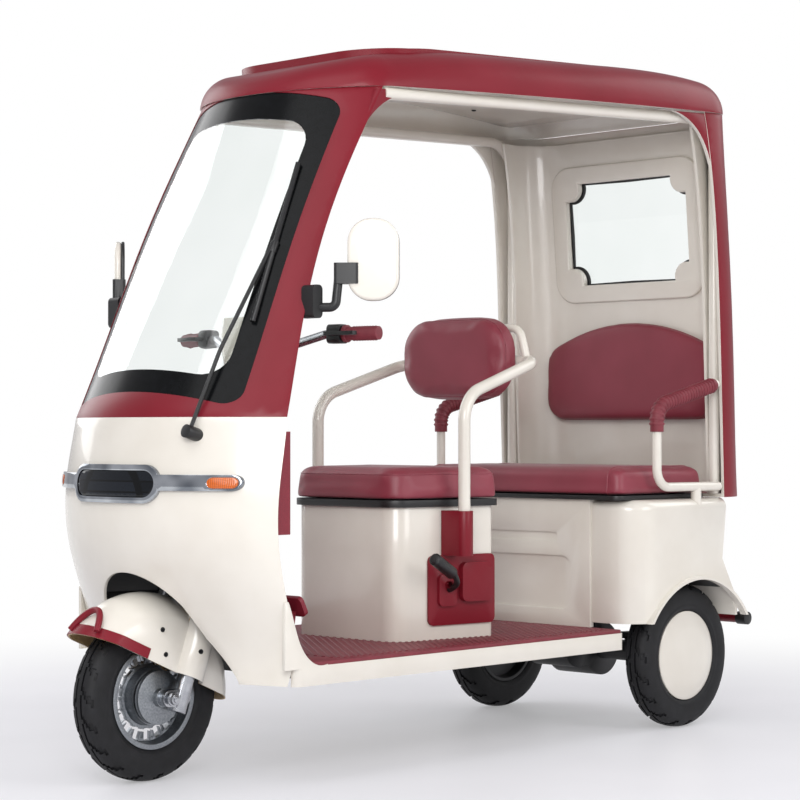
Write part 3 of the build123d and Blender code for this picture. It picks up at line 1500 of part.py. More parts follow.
SLEEVE_END = ARM_END + 14
sleeve_z = 984 - (SLEEVE_END - ARM_END) * (984 - 916) / (ARM_X - ARM_END)
sleeve_left = tube(
    [(SLEEVE_END, ARM_Y, sleeve_z), arm_high, (ARM_X, ARM_Y, ARM_CUFF)],
    52,
    ARM_R + 6,
    ARM_R + SEAT_GAP,
)
with BuildPart() as armrest_sleeves:
    add(sleeve_left)
    mirror(about=Plane.XZ)
keep(armrest_sleeves.part, "armrest_sleeves")

# Brake pedal hung in front of the driver's left foot
with BuildPart() as brake_pedal:
    with BuildSketch(side(196)):
        with BuildLine():
            Polyline(
                (TUNNEL_X - 12, FLOOR_Z), (TUNNEL_X - 30, FLOOR_Z),
                (TUNNEL_X - 46, 402), (TUNNEL_X - 30, 402), close=True,
            )
        make_face()
    extrude(amount=12)
    with BuildSketch(Plane(origin=(TUNNEL_X - 40, 190, 412), x_dir=(0, 1, 0), z_dir=(-1, 0, 0.5))):
        RectangleRounded(70, 52, 12)
    extrude(amount=12)
keep(brake_pedal.part, "brake_pedal")
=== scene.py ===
import json
from math import acos, atan2, cos, hypot, pi, radians, sin

import bpy
from mathutils import Matrix, Vector
from mathutils.bvhtree import BVHTree

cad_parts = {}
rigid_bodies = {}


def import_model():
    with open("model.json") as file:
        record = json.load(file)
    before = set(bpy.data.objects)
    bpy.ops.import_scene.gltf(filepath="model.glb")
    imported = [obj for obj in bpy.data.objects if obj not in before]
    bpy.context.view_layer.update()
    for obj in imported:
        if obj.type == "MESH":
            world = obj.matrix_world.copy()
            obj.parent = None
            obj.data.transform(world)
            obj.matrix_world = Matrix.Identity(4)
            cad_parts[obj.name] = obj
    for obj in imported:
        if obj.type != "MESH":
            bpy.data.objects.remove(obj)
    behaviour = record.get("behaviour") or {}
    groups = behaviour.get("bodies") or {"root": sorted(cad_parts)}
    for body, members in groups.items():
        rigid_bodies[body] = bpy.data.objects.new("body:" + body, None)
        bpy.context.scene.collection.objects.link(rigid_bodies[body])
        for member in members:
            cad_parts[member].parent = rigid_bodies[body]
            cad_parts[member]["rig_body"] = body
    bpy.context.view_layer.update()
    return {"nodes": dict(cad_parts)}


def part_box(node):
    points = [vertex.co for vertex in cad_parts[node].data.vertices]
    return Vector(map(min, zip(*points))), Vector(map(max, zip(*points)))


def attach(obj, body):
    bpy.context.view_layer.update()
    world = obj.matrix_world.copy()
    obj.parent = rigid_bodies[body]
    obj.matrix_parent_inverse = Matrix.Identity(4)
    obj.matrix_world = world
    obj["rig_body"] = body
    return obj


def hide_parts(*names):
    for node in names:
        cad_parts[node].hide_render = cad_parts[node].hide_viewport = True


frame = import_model()
nodes = frame["nodes"]


# Chassis, rear axle and leaf springs: welded box tube, a drawn axle casing and spring strip,
# sprayed with black powder coat after welding, then bolted together under the floor.
def hexed(code):
    """Linear colour from an sRGB hex value."""
    parts = [int(code[i : i + 2], 16) / 255 for i in (1, 3, 5)]
    return [c / 12.92 if c <= 0.04045 else ((c + 0.055) / 1.055) ** 2.4 for c in parts] + [1.0]


def add_node(owner, kind, settings=None, inputs=None, links=None, ramp=None):
    """Adds one node: its settings, input values, links from other nodes and ramp stops."""
    node = owner.node_tree.nodes.new(kind)
    for key, value in (settings or {}).items():
        setattr(node, key, value)
    for key, value in (inputs or {}).items():
        node.inputs[key].default_value = value
    for key, (source, output) in (links or {}).items():
        owner.node_tree.links.new(source.outputs[output], node.inputs[key])
    for stop, (place, code) in zip(node.color_ramp.elements if ramp else (), ramp or ()):
        stop.position = place
        stop.color = hexed(code)
    return node


def new_finish(name):
    """An empty material and the coordinates that its patterns read."""
    finish = bpy.data.materials.new(name)
    finish.use_nodes = True
    finish.node_tree.nodes.clear()
    return finish, add_node(finish, "ShaderNodeTexCoord")


def take(piece):
    """Lets go of everything and takes one piece in hand, out of edit mode."""
    if bpy.context.object and bpy.context.object.mode != "OBJECT":
        bpy.ops.object.mode_set(mode="OBJECT")
    bpy.ops.object.select_all(action="DESELECT")
    if piece:
        bpy.context.view_layer.objects.active = piece
        piece.select_set(True)


def opened(piece):
    """Goes into edit mode with the whole of a piece selected."""
    take(piece)
    bpy.ops.object.mode_set(mode="EDIT")
    bpy.ops.mesh.select_all(action="SELECT")


def placed(name, data):
    """A new object in the scene, made from a mesh, a curve, a lamp or a camera."""
    piece = bpy.data.objects.new(name, data)
    bpy.context.scene.collection.objects.link(piece)
    return piece


def smooth(angle):
    """Shades the piece in hand smooth, except across edges sharper than an angle in degrees."""
    bpy.ops.object.shade_smooth_by_angle(angle=radians(angle))


def fit(piece, name, body, finish, slot, *stands_for):
    """Names a finished piece, paints it, and fixes it to the body that carries it."""
    take(piece)
    bpy.ops.object.transform_apply(location=True, rotation=True, scale=True)
    piece.name = name
    piece.data.name = name
    if finish:
        piece.data.materials.clear()
        piece.data.materials.append(finish)
    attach(piece, body)
    if stands_for:
        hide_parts(*stands_for)
    return piece


def body_of(node):
    """The body that carries a node of the frame."""
    return nodes[node]["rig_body"]


# Corners closer than this are one corner, in metres.
MERGE = 0.00002


def cast_copy(node):
    """A copy of a solid of the frame with its loose triangles merged."""
    piece = placed(node + "_copy", nodes[node].data.copy())
    opened(piece)
    bpy.ops.mesh.remove_doubles(threshold=MERGE)
    bpy.ops.mesh.customdata_custom_splitnormals_clear()
    bpy.ops.object.mode_set(mode="OBJECT")
    return piece


def eased(piece, width, angle=40, segments=2):
    """Rounds the sharp edges of a piece as a mould or a file leaves them."""
    take(piece)
    ease = piece.modifiers.new("eased_edges", "BEVEL")
    ease.width = width
    ease.segments = segments
    ease.limit_method = "ANGLE"
    ease.angle_limit = radians(angle)
    bpy.ops.object.modifier_apply(modifier=ease.name)
    return piece


def skin(node, finish, slot, soften=0.0, angle=32):
    """The visible skin of a solid of the frame: merged, eased, smoothed and painted."""
    piece = cast_copy(node)
    if soften:
        eased(piece, soften, angle + 8)
    smooth(angle)
    return fit(piece, node + "_skin", body_of(node), finish, slot, node)


def grained(name, tone, ramp, shader, pebble=None, bump=None):
    """A finish coloured by a noise, with grain raised by a finer noise or by the same one."""
    finish, spot = new_finish(name)
    noises = [
        add_node(
            finish,
            "ShaderNodeTexNoise",
            inputs={"Scale": scale, "Detail": detail},
            links={"Vector": (spot, "Object")},
        )
        for scale, detail in ((tone, pebble) if pebble else (tone,))
    ]
    shade = add_node(finish, "ShaderNodeValToRGB", links={"Fac": (noises[0], "Fac")}, ramp=ramp)
    links = {"Base Color": (shade, "Color")}
    if bump:
        grit = add_node(
            finish,
            "ShaderNodeBump",
            inputs={"Strength": bump[0], "Distance": bump[1]},
            links={"Height": (noises[-1], "Fac")},
        )
        links["Normal"] = (grit, "Normal")
    coat = add_node(finish, "ShaderNodeBsdfPrincipled", inputs=shader, links=links)
    add_node(finish, "ShaderNodeOutputMaterial", links={"Surface": (coat, 0)})
    return finish


# Polyester powder coat: low sheen, a fine pebble of about 1 mm drawn at 3 mm so that it shows,
# and grey road dust lying in patches a hand wide.
black_coat = grained(
    "black_powder_coat",
    tone=(12.0, 4.0),
    ramp=((0.45, "#151517"), (0.8, "#26262A")),
    pebble=(330.0, 1.0),
    bump=(0.15, 0.0006),
    shader={"Roughness": 0.46, "IOR": 1.5},
)
for node in ("chassis", "rear_axle", "leaf_springs"):
    skin(node, black_coat, "black_steel", 0.0012)

# Battery pack: a black polypropylene case, blow moulded, strapped between the rails.
# The finish serves every black moulding: housing, liners, seat pans, wiper, pods and mirror arms.
# Moulded polypropylene: dull, with a leather-like spark-etched grain near 1 mm, drawn at 2.5 mm.
black_moulded = grained(
    "black_polypropylene",
    tone=(400.0, 2.0),
    ramp=((0.35, "#161617"), (0.75, "#202022")),
    bump=(0.12, 0.0005),
    shader={"Roughness": 0.42, "IOR": 1.49},
)
skin("battery", black_moulded, "battery_case", 0.006)

# Rear wheels: pressed steel rims, powder coated black, with a cream cap pushed in outside
# and a rubber tyre with a curved tread. The cap hides the wheel nuts.
for node in ("rear_rim_left", "rear_rim_right"):
    skin(node, black_coat, "black_steel", 0.001)

# Cream enamel: sprayed two-pack gloss over ABS, with orange peel near 2 mm drawn at 4 mm,
# and a slow change of tone over about 150 mm.
cream_enamel = grained(
    "cream_gloss_enamel",
    tone=(6.5, 3.0),
    ramp=((0.3, "#D9D3C8"), (0.75, "#E0DBD1")),
    pebble=(250.0, 1.0),
    bump=(0.02, 0.0006),
    shader={"Roughness": 0.26, "IOR": 1.5, "Coat Weight": 0.5, "Coat Roughness": 0.06},
)
for node in ("hub_cap_left", "hub_cap_right"):
    skin(node, cream_enamel, "cream_paint", 0.002)


def drawn(points):
    """A line drawn through points by extruding one corner from each to the next."""
    take(None)
    bpy.ops.mesh.primitive_plane_add(size=0.002, location=points[0])
    piece = bpy.context.object
    bpy.ops.object.mode_set(mode="EDIT")
    bpy.ops.mesh.select_mode(type="VERT")
    bpy.ops.mesh.select_all(action="SELECT")
    bpy.ops.mesh.merge(type="CENTER")
    for a, b in zip(points, points[1:]):
        bpy.ops.mesh.extrude_region_move(TRANSFORM_OT_translate={"value": Vector(b) - Vector(a)})
    return piece


def choose(piece, kind, test):
    """Goes into edit mode with the faces or edges selected whose middle and direction pass a test."""
    take(piece)
    bpy.ops.object.mode_set(mode="EDIT")
    bpy.ops.mesh.select_mode(type=kind)
    bpy.ops.mesh.select_all(action="DESELECT")
    bpy.ops.object.mode_set(mode="OBJECT")
    if kind == "FACE":
        for face in piece.data.polygons:
            face.select = test(face.center, face.normal)
    else:
        for edge in piece.data.edges:
            a, b = (piece.data.vertices[i].co for i in edge.vertices)
            edge.select = test((a + b) / 2, (b - a).normalized())
    bpy.ops.object.mode_set(mode="EDIT")


# Tyre: one section spun round the axle, then the tread's bent sipes sunk 5 mm.
FRONT_AXLE = Vector((0.914, 0, 0.205))
REAR_AXLE = Vector((-0.776, 0.339, 0.205))
TREAD_STEPS = 132
TREAD_EDGE = 0.1895
SIPE_DEPTH = 0.005
section = [
    (0.0295, 0.1268), (0.0350, 0.1300), (0.0392, 0.1380), (0.0404, 0.1420), (0.0396, 0.1440), (0.0406, 0.1500),
    (0.0410, 0.1620), (0.0404, 0.1740), (0.0388, 0.1820), (0.0366, 0.1880), (0.0330, 0.1935), (0.0285, 0.1980),
    (0.0235, 0.2010), (0.0180, 0.2030), (0.0120, 0.2043), (0.0060, 0.2049),
]
section = section + [(0.0, 0.205)] + [(-a, r) for a, r in reversed(section)]
section.append((0.0295, 0.1268))
tyre = drawn([FRONT_AXLE + Vector((0, a, r)) for a, r in section])
bpy.ops.mesh.select_all(action="SELECT")
bpy.ops.mesh.spin(steps=TREAD_STEPS, angle=2 * pi, center=FRONT_AXLE, axis=(0, 1, 0))
bpy.ops.mesh.select_all(action="SELECT")
bpy.ops.mesh.remove_doubles(threshold=0.0001)
bpy.ops.mesh.normals_make_consistent(inside=False)
take(tyre)
bpy.ops.object.transform_apply(location=True, rotation=True, scale=True)


def is_sipe(middle, normal):
    """Faces of the tread that the mould sinks: bent sipes and a wavy groove beside the middle."""
    out = middle - FRONT_AXLE
    if hypot(out.x, out.z) < TREAD_EDGE:
        return False
    step = int(round((atan2(out.z, out.x) / (2 * pi) + 0.5) * TREAD_STEPS - 0.5))
    row = abs(out.y)
    if row < 0.006:
        return False
    lean = int(row / 0.0065)
    side = 0 if out.y > 0 else 3
    return (step + side + lean) % 7 < 2 or (0.012 > row and (step + side) % 7 < 5)


choose(tyre, "FACE", is_sipe)
bpy.ops.mesh.extrude_region_shrink_fatten(TRANSFORM_OT_shrink_fatten={"value": -SIPE_DEPTH})
take(tyre)
smooth(40)

# Natural rubber with carbon black: nearly black, dull, greyer on the worn tread,
# with a mould skin near 1 mm drawn at 3 mm.
tyre_rubber = grained(
    "tyre_rubber",
    tone=(30.0, 4.0),
    ramp=((0.35, "#111113"), (0.75, "#1B1B1E")),
    pebble=(330.0, 2.0),
    bump=(0.2, 0.0008),
    shader={"Roughness": 0.62, "IOR": 1.52, "Specular IOR Level": 0.35},
)
for node, centre in (
    ("front_tyre", FRONT_AXLE),
    ("rear_tyre_left", REAR_AXLE),
    ("rear_tyre_right", REAR_AXLE * Vector((1, -1, 1))),
):
    copy = placed(node, tyre.data.copy())
    copy.location = centre - FRONT_AXLE
    fit(copy, node + "_tread", body_of(node), tyre_rubber, "tyre_rubber", node)
bpy.data.objects.remove(tyre)

# Front wheel: an aluminium casting with a slotted disc, its drum closed by a brake plate.
# The casting is shot blasted, so it is grey and dull with bright machined edges.
cast_alloy = grained(
    "cast_aluminium",
    tone=(260.0, 3.0),
    ramp=((0.3, "#84888D"), (0.75, "#A2A6AA")),
    bump=(0.15, 0.0008),
    shader={"Metallic": 1.0, "Roughness": 0.38},
)
skin("brake_plate", cast_alloy, "cast_alloy", 0.0012, 30)


def carve(piece, tool, kind):
    """Keeps, cuts away or joins the part of a piece that a tool fills."""
    take(piece)
    cut = piece.modifiers.new("carved", "BOOLEAN")
    cut.operation = kind
    cut.solver = "EXACT"
    cut.object = tool
    bpy.ops.object.modifier_apply(modifier=cut.name)
    return piece


SLOT_REACH = 0.0925
SLOT_COUNT = 18
take(None)
bpy.ops.mesh.primitive_cube_add(size=1, location=FRONT_AXLE + Vector((0, 0, SLOT_REACH)))
slots = bpy.context.object
slots.scale = (0.021, 0.030, 0.030)
bpy.ops.object.transform_apply(location=True, scale=True)
choose(slots, "EDGE", lambda middle, run: abs(run.y) > 0.9)
bpy.ops.mesh.bevel(offset=0.004, segments=3)
bpy.ops.mesh.select_all(action="SELECT")
bpy.ops.mesh.spin(steps=SLOT_COUNT, dupli=True, angle=2 * pi, center=FRONT_AXLE, axis=(0, 1, 0))
opened(slots)
bpy.ops.mesh.remove_doubles(threshold=MERGE)
bpy.ops.mesh.normals_make_consistent(inside=False)
take(slots)
rim = carve(cast_copy("front_rim"), slots, "DIFFERENCE")
bpy.data.objects.remove(slots)
eased(rim, 0.0012)
smooth(30)
fit(rim, "front_rim_skin", body_of("front_rim"), cast_alloy, "cast_alloy", "front_rim")

# Fork and axle nut: drawn tube and turned parts with a bright zinc plate.
# The plate is a little blue and keeps soft highlights.
bright_steel = grained(
    "zinc_plated_steel",
    tone=(40.0, 3.0),
    ramp=((0.3, "#A9ABB0"), (0.75, "#C4C6CA")),
    shader={"Metallic": 1.0, "Roughness": 0.27},
)
skin("fork", bright_steel, "bright_steel", 0.001)
NUT_AT = 0.1035


def joined(pieces):
    """Several pieces made one."""
    take(pieces[0])
    for piece in pieces:
        piece.select_set(True)
    if len(pieces) > 1:
        bpy.ops.object.join()
    return pieces[0]


nuts = []
for turn in (1, -1):
    take(None)
    bpy.ops.mesh.primitive_cylinder_add(
        vertices=24,
        radius=0.017,
        depth=0.004,
        location=FRONT_AXLE + Vector((0, turn * NUT_AT, 0)),
        rotation=(pi / 2, 0, 0),
    )
    nut = bpy.context.object
    bpy.ops.object.transform_apply(location=True, rotation=True)
    choose(nut, "FACE", lambda middle, normal: normal.y * turn > 0.9)
    bpy.ops.mesh.inset(thickness=0.004)
    bpy.ops.mesh.extrude_region_move(TRANSFORM_OT_translate={"value": (0, turn * 0.009, 0)})
    bpy.ops.mesh.inset(thickness=0.005)
    bpy.ops.mesh.extrude_region_move(TRANSFORM_OT_translate={"value": (0, turn * 0.004, 0)})
    nuts.append(eased(nut, 0.0006))
nut = joined(nuts)
smooth(30)
fit(nut, "axle_nuts", body_of("fork"), bright_steel, "bright_steel")

# Front mudguard: an injection-moulded hood with the leg covers in one piece, cream outside
# and bare tan resin inside, bolted to the fork legs by three bolts a side.
guard = skin("front_mudguard", cream_enamel, "cream_paint", 0.001)
bare_resin = grained(
    "tan_bare_resin",
    tone=(16.0, 3.0),
    ramp=((0.3, "#A98B5E"), (0.75, "#BFA47A")),
    shader={"Roughness": 0.5, "IOR": 1.5},
)
GUARD_HUB = Vector((0.934, 0, 0.210))
GUARD_INSIDE = 0.252
GUARD_HALF_INSIDE = 0.0865


def repaint(piece, finish, test):
    """A second finish on the faces whose middle and direction pass a test."""
    piece.data.materials.append(finish)
    for face in piece.data.polygons:
        if test(face.center, face.normal):
            face.material_index = 1


def faces_tyre(middle, normal, lean):
    """Whether a face of the guard looks in at the tyre, by its side or by how it leans to the hub."""
    out = middle - GUARD_HUB
    if abs(normal.y) > 0.8:
        return out.y * normal.y < 0
    return out.x * normal.x + out.z * normal.z < lean


def is_bare(middle, normal):
    """Inner faces of the hood and leg covers, which stay unpainted."""
    out = middle - GUARD_HUB
    within = hypot(out.x, out.z) < GUARD_INSIDE and abs(out.y) < GUARD_HALF_INSIDE
    return within and faces_tyre(middle, normal, -0.02)


repaint(guard, bare_resin, is_bare)

# Mudguard edging: a burgundy trim bonded along the front of the cut edge, with a loop at the tip.
# It shares the satin burgundy coat of the roof.
# Satin enamel: sprayed burgundy with a fine texture near 1 mm drawn at 2.5 mm that softens highlights.
burgundy_coat = grained(
    "burgundy_satin_enamel",
    tone=(5.0, 2.0),
    ramp=((0.3, "#741622"), (0.75, "#7C1B28")),
    pebble=(420.0, 2.0),
    bump=(0.06, 0.0005),
    shader={"Roughness": 0.38, "IOR": 1.45, "Specular IOR Level": 0.28, "Coat Weight": 0.04, "Coat Roughness": 0.15},
)
edging = cast_copy("front_mudguard")
tip = Vector((1.130, 0, 0.371))
rise = Vector((-0.405, 0, 0.9143))
EDGING_DEPTH = 0.026
EDGING_WALL = 0.003
opened(edging)
for place, away in (
    (tip + rise * EDGING_DEPTH, rise),
    (Vector((0.985, 0, 0.3)), Vector((-0.9143, 0, -0.405))),
):
    bpy.ops.mesh.select_all(action="SELECT")
    bpy.ops.mesh.bisect(plane_co=place, plane_no=away, clear_outer=True)
choose(edging, "FACE", lambda middle, normal: faces_tyre(middle, normal, 0.02))
bpy.ops.mesh.delete(type="FACE")
take(edging)
wall = edging.modifiers.new("edging_wall", "SOLIDIFY")
wall.thickness = EDGING_WALL
wall.offset = 0.85
bpy.ops.object.modifier_apply(modifier=wall.name)
smooth(35)
fit(edging, "mudguard_edging", body_of("front_mudguard"), burgundy_coat, "burgundy_paint")
loop_points = [
    (1.112, 0.060, 0.378), (1.098, 0.054, 0.404), (1.084, 0.036, 0.424), (1.082, 0.008, 0.424),
    (1.094, -0.014, 0.408), (1.108, -0.026, 0.390), (1.116, -0.034, 0.376),
]


def rod(points, radius, sides=6):
    """A round bar that follows a smooth line through points, as a mesh."""
    take(None)
    line = bpy.data.curves.new("bar", "CURVE")
    line.dimensions = "3D"
    run = line.splines.new("NURBS")
    run.points.add(len(points) - 1)
    for point, place in zip(run.points, points):
        point.co = (*place, 1)
    run.order_u = 3
    run.use_endpoint_u = True
    line.bevel_depth = radius
    line.bevel_resolution = sides
    line.use_fill_caps = True
    take(placed("bar", line))
    bpy.ops.object.convert(target="MESH")
    bar = bpy.context.object
    opened(bar)
    bpy.ops.mesh.remove_doubles(threshold=MERGE / 2)
    take(bar)
    smooth(40)
    return bar


fit(rod(loop_points, 0.0080), "mudguard_loop", body_of("front_mudguard"), burgundy_coat, "burgundy_paint")

# Screws and bolts: black-oxide button heads with a sunk socket, the same pattern all over the body.
# Black oxide is dark with a low oily gloss.
black_oxide = grained(
    "black_oxide_steel",
    tone=(90.0, 2.0),
    ramp=((0.3, "#19191B"), (0.75, "#2B2B2E")),
    shader={"Metallic": 0.6, "Roughness": 0.35},
)
take(None)
bpy.ops.mesh.primitive_cylinder_add(vertices=18, radius=1.0, depth=0.8, location=(0, 0, 0.1))
button = bpy.context.object
bpy.ops.object.transform_apply(location=True)
choose(button, "FACE", lambda middle, normal: normal.z > 0.9)
bpy.ops.mesh.inset(thickness=0.45)
bpy.ops.mesh.extrude_region_move(TRANSFORM_OT_translate={"value": (0, 0, -0.35)})
eased(button, 0.16, 60, 3)
smooth(40)


def bolted(name, node, radius, places, aim):
    """Button heads set on the face of a solid, each where a line along aim from its place meets it."""
    heads = []
    solid = nodes[node].data
    target = BVHTree.FromPolygons([v.co for v in solid.vertices], [list(f.vertices) for f in solid.polygons])
    for place in places:
        spot_at, facing, _, _ = target.ray_cast(Vector(place) - Vector(aim) * 0.25, Vector(aim), 0.6)
        if not spot_at:
            raise ValueError(f"{name} misses {node} at {place}")
        head = placed(name, button.data.copy())
        turn = facing.to_track_quat("Z", "Y").to_matrix().to_4x4()
        head.data.transform(Matrix.Translation(spot_at) @ turn @ Matrix.Scale(radius, 4))
        heads.append(head)
    return fit(joined(heads), name, body_of(node), black_oxide, "black_steel")


for turn, side in ((1, "left"), (-1, "right")):
    bolted(
        "mudguard_bolts_" + side,
        "front_mudguard",
        0.006,
        [(0.935, turn * 0.13, 0.372), (0.925, turn * 0.13, 0.312), (0.842, turn * 0.13, 0.315)],
        (0, -turn, 0),
    )

# Wheel housing and cowl: the inner arch is a black moulding, the cowl a cream one that clips round it.
# The leg shield closes the cowl's back.
skin("wheel_housing", black_moulded, "black_plastic")
skin("front_cowl", cream_enamel, "cream_paint", 0.0018)

# Headlamp: a chromed ABS bezel with side arms, a smoked lens with lamp modules behind it,
# and amber indicator lenses let into the ends of the arms.
# Chrome plate: a bright mirror, faintly blue, with a few soft waves about 60 mm long.
chrome = grained(
    "chromed_plastic",
    tone=(16.0, 1.0),
    ramp=((0.35, "#7F848C"), (0.7, "#C6CAD0")),
    shader={"Metallic": 1.0, "Roughness": 0.1},
)
skin("headlamp_bezel", chrome, "chrome_trim", 0.004, 30)

# Smoked polycarbonate: almost black and glossy, with the modules' 26 by 15 mm cells just showing.
smoked_lens, spot = new_finish("smoked_polycarbonate")
turned = add_node(
    smoked_lens,
    "ShaderNodeMapping",
    inputs={"Location": (0, 0.0, -0.722), "Rotation": (radians(90), 0, radians(90))},
    links={"Vector": (spot, "Object")},
)
cells = add_node(
    smoked_lens,
    "ShaderNodeTexBrick",
    settings={"offset": 0.0},
    inputs={
        "Color1": hexed("#0C0F14"),
        "Color2": hexed("#171B22"),
        "Mortar": hexed("#050608"),
        "Scale": 1.0,
        "Mortar Size": 0.0022,
        "Brick Width": 0.026,
        "Row Height": 0.015,
    },
    links={"Vector": (turned, "Vector")},
)
coat = add_node(
    smoked_lens,
    "ShaderNodeBsdfPrincipled",
    inputs={"Roughness": 0.1, "IOR": 1.58, "Specular IOR Level": 0.2, "Coat Weight": 0.12, "Coat Roughness": 0.03},
    links={"Base Color": (cells, "Color")},
)
add_node(smoked_lens, "ShaderNodeOutputMaterial", links={"Surface": (coat, 0)})
skin("headlamp_lens", smoked_lens, "dark_lens", 0.003)


def fluted(name, scale, ramp):
    """A clear acrylic with upright flutes moulded in its face, each flute coloured from dark to light as painted light
    and shade.
    """
    finish, spot = new_finish(name)
    flutes = add_node(
        finish,
        "ShaderNodeTexWave",
        settings={"bands_direction": "Y"},
        inputs={"Scale": scale},
        links={"Vector": (spot, "Object")},
    )
    # Painted light and shade: the colour runs from dark to light across each flute.
    shade = add_node(finish, "ShaderNodeValToRGB", links={"Fac": (flutes, "Fac")}, ramp=ramp)
    ridge = add_node(
        finish, "ShaderNodeBump", inputs={"Strength": 0.25, "Distance": 0.0008}, links={"Height": (flutes, "Fac")}
    )
    coat = add_node(
        finish,
        "ShaderNodeBsdfPrincipled",
        inputs={"Roughness": 0.12, "IOR": 1.49, "Coat Weight": 0.5, "Coat Roughness": 0.04},
        links={"Base Color": (shade, "Color"), "Normal": (ridge, "Normal")},
    )
    add_node(finish, "ShaderNodeOutputMaterial", links={"Surface": (coat, 0)})
    return finish


# Amber acrylic: clear orange with fine upright flutes 4 mm apart, each painted darker and lighter across its width as
# painted light and shade where the flutes catch the light.
amber = fluted("amber_acrylic", 79.0, ((0.0, "#A8480F"), (1.0, "#D4691A")))
skin("indicators", amber, "amber_lens", 0.002)

# Leg shield and pedal: a burgundy polypropylene wall with a knee bolster, clipped to the cowl.
# Moulded with a coarse leather etch near 2 mm, so it is dull and hides scuffs.
burgundy_moulded = grained(
    "burgundy_polypropylene",
    tone=(450.0, 2.0),
    ramp=((0.3, "#7A1F2D"), (0.75, "#8C2737")),
    bump=(0.2, 0.0006),
    shader={"Roughness": 0.48, "IOR": 1.49},
)
skin("leg_shield", burgundy_moulded, "burgundy_plastic")
skin("brake_pedal", burgundy_moulded, "burgundy_plastic", 0.002)

# Handlebar, instrument head and controls: a bent plated bar with a cream pod on its middle,
# black switch pods with levers, and burgundy grips pushed on with raised rings.
skin("handlebar", bright_steel, "bright_steel")
skin("nacelle", cream_enamel, "cream_paint", 0.003)
skin("lever_pods", black_moulded, "black_plastic", 0.0016)

# Moulded rubber: burgundy, matt, with a soft bloom in patches about 40 mm wide.
burgundy_rubber = grained(
    "burgundy_rubber",
    tone=(24.0, 3.0),
    ramp=((0.3, "#70242F"), (0.75, "#7F2E39")),
    pebble=(500.0, 1.0),
    bump=(0.15, 0.0005),
    shader={"Roughness": 0.56, "IOR": 1.52},
)
skin("hand_grips", burgundy_rubber, "burgundy_rubber", 0.001)


def ringed(name, body, stations, reach, bead):
    """Raised rings along a rubber sleeve, one round each station's place and direction."""
    take(None)
    bpy.ops.mesh.primitive_torus_add(
        major_radius=reach, minor_radius=bead, major_segments=28, minor_segments=6, location=(0, 0, 0)
    )
    ring = bpy.context.object
    choose(ring, "FACE", lambda middle, normal: hypot(middle.x, middle.y) < reach - bead * 0.4)
    bpy.ops.mesh.delete(type="FACE")
    take(ring)
    smooth(60)
    rings = []
    for place, aim in stations:
        copy = placed(name, ring.data.copy())
        copy.data.transform(Matrix.Translation(place) @ aim.to_track_quat("Z", "Y").to_matrix().to_4x4())
        rings.append(copy)
    bpy.data.objects.remove(ring)
    return fit(joined(rings), name, body, burgundy_rubber, "burgundy_rubber")


GRIP_PITCH = 0.008
grip_low, grip_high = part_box("hand_grips")
for turn, side in ((1, "left"), (-1, "right")):
    aim = Vector((0.030, turn * -0.150, 0)).normalized()
    start = Vector((0.4766, turn * 0.360, 1.089)) + Vector((grip_low.x + grip_high.x - 0.9830, 0, 0)) * 0.5
    stations = [(start + aim * GRIP_PITCH * (i + 1), aim) for i in range(9)]
    ringed("grip_rings_" + side, body_of("hand_grips"), stations, 0.0172, 0.0014)

# Screen frame: the burgundy surround of the windscreen, two pillars moulded in one with the sill.
# Its inner faces are cream where the lining is bonded on.
surround = skin("screen_frame", burgundy_coat, "burgundy_paint", 0.0015)
repaint(surround, cream_enamel, lambda middle, normal: normal.x < -0.45)

# Windscreen: bent laminated glass, printed with a black border that hides its bonded edge.
# The glass is clear with a slight green cast, the border dense black and as glossy.
clear_glass = grained(
    "laminated_glass",
    tone=(3.0, 2.0),
    ramp=((0.3, "#EEF3F1"), (0.75, "#F6F9F8")),
    shader={"Roughness": 0.0, "IOR": 1.45, "Transmission Weight": 1.0},
)
black_print = grained(
    "black_ceramic_print",
    tone=(60.0, 2.0),
    ramp=((0.3, "#090A0B"), (0.75, "#0F1012")),
    shader={"Roughness": 0.22, "IOR": 1.5, "Specular IOR Level": 0.12},
)


def rounded(corners, radius, steps=7):
    """Corners of a flat outline, each rounded to a radius."""
    points = []
    count = len(corners)
    for i, corner in enumerate(corners):
        here = Vector(corner)
        before = (Vector(corners[i - 1]) - here).normalized()
        after = (Vector(corners[(i + 1) % count]) - here).normalized()
        opening = acos(max(-1, min(1, before.dot(after))))
        run = radius / (sin(opening / 2) / cos(opening / 2))
        middle = here + (before + after).normalized() * (radius / sin(opening / 2))
        start, end = here + before * run - middle, here + after * run - middle
        swing = start.angle_signed(end)
        for k in range(steps + 1):
            turn = -swing * k / steps
            points.append(
                middle + Vector((start.x * cos(turn) - start.y * sin(turn), start.x * sin(turn) + start.y * cos(turn)))
            )
    return points


def oblong(half_wide, half_high, radius, steps=7):
    """Outline of a rectangle about its middle, with rounded corners."""
    u, v = half_wide, half_high
    return rounded([(-u, -v), (u, -v), (u, v), (-u, v)], radius, steps)


def laid(outline, origin, across, up):
    """A flat outline laid in space on two directions."""
    return [origin + across * u + up * v for u, v in outline]


def block(points, push):
    """A solid block: an outline filled and pushed along one direction, half to each side."""
    piece = drawn([Vector(p) - Vector(push) / 2 for p in points])
    bpy.ops.mesh.select_all(action="SELECT")
    bpy.ops.mesh.edge_face_add()
    bpy.ops.mesh.extrude_region_move(TRANSFORM_OT_translate={"value": Vector(push)})
    bpy.ops.mesh.select_all(action="SELECT")
    bpy.ops.mesh.normals_make_consistent(inside=False)
    take(piece)
    bpy.ops.object.transform_apply(location=True)
    return piece


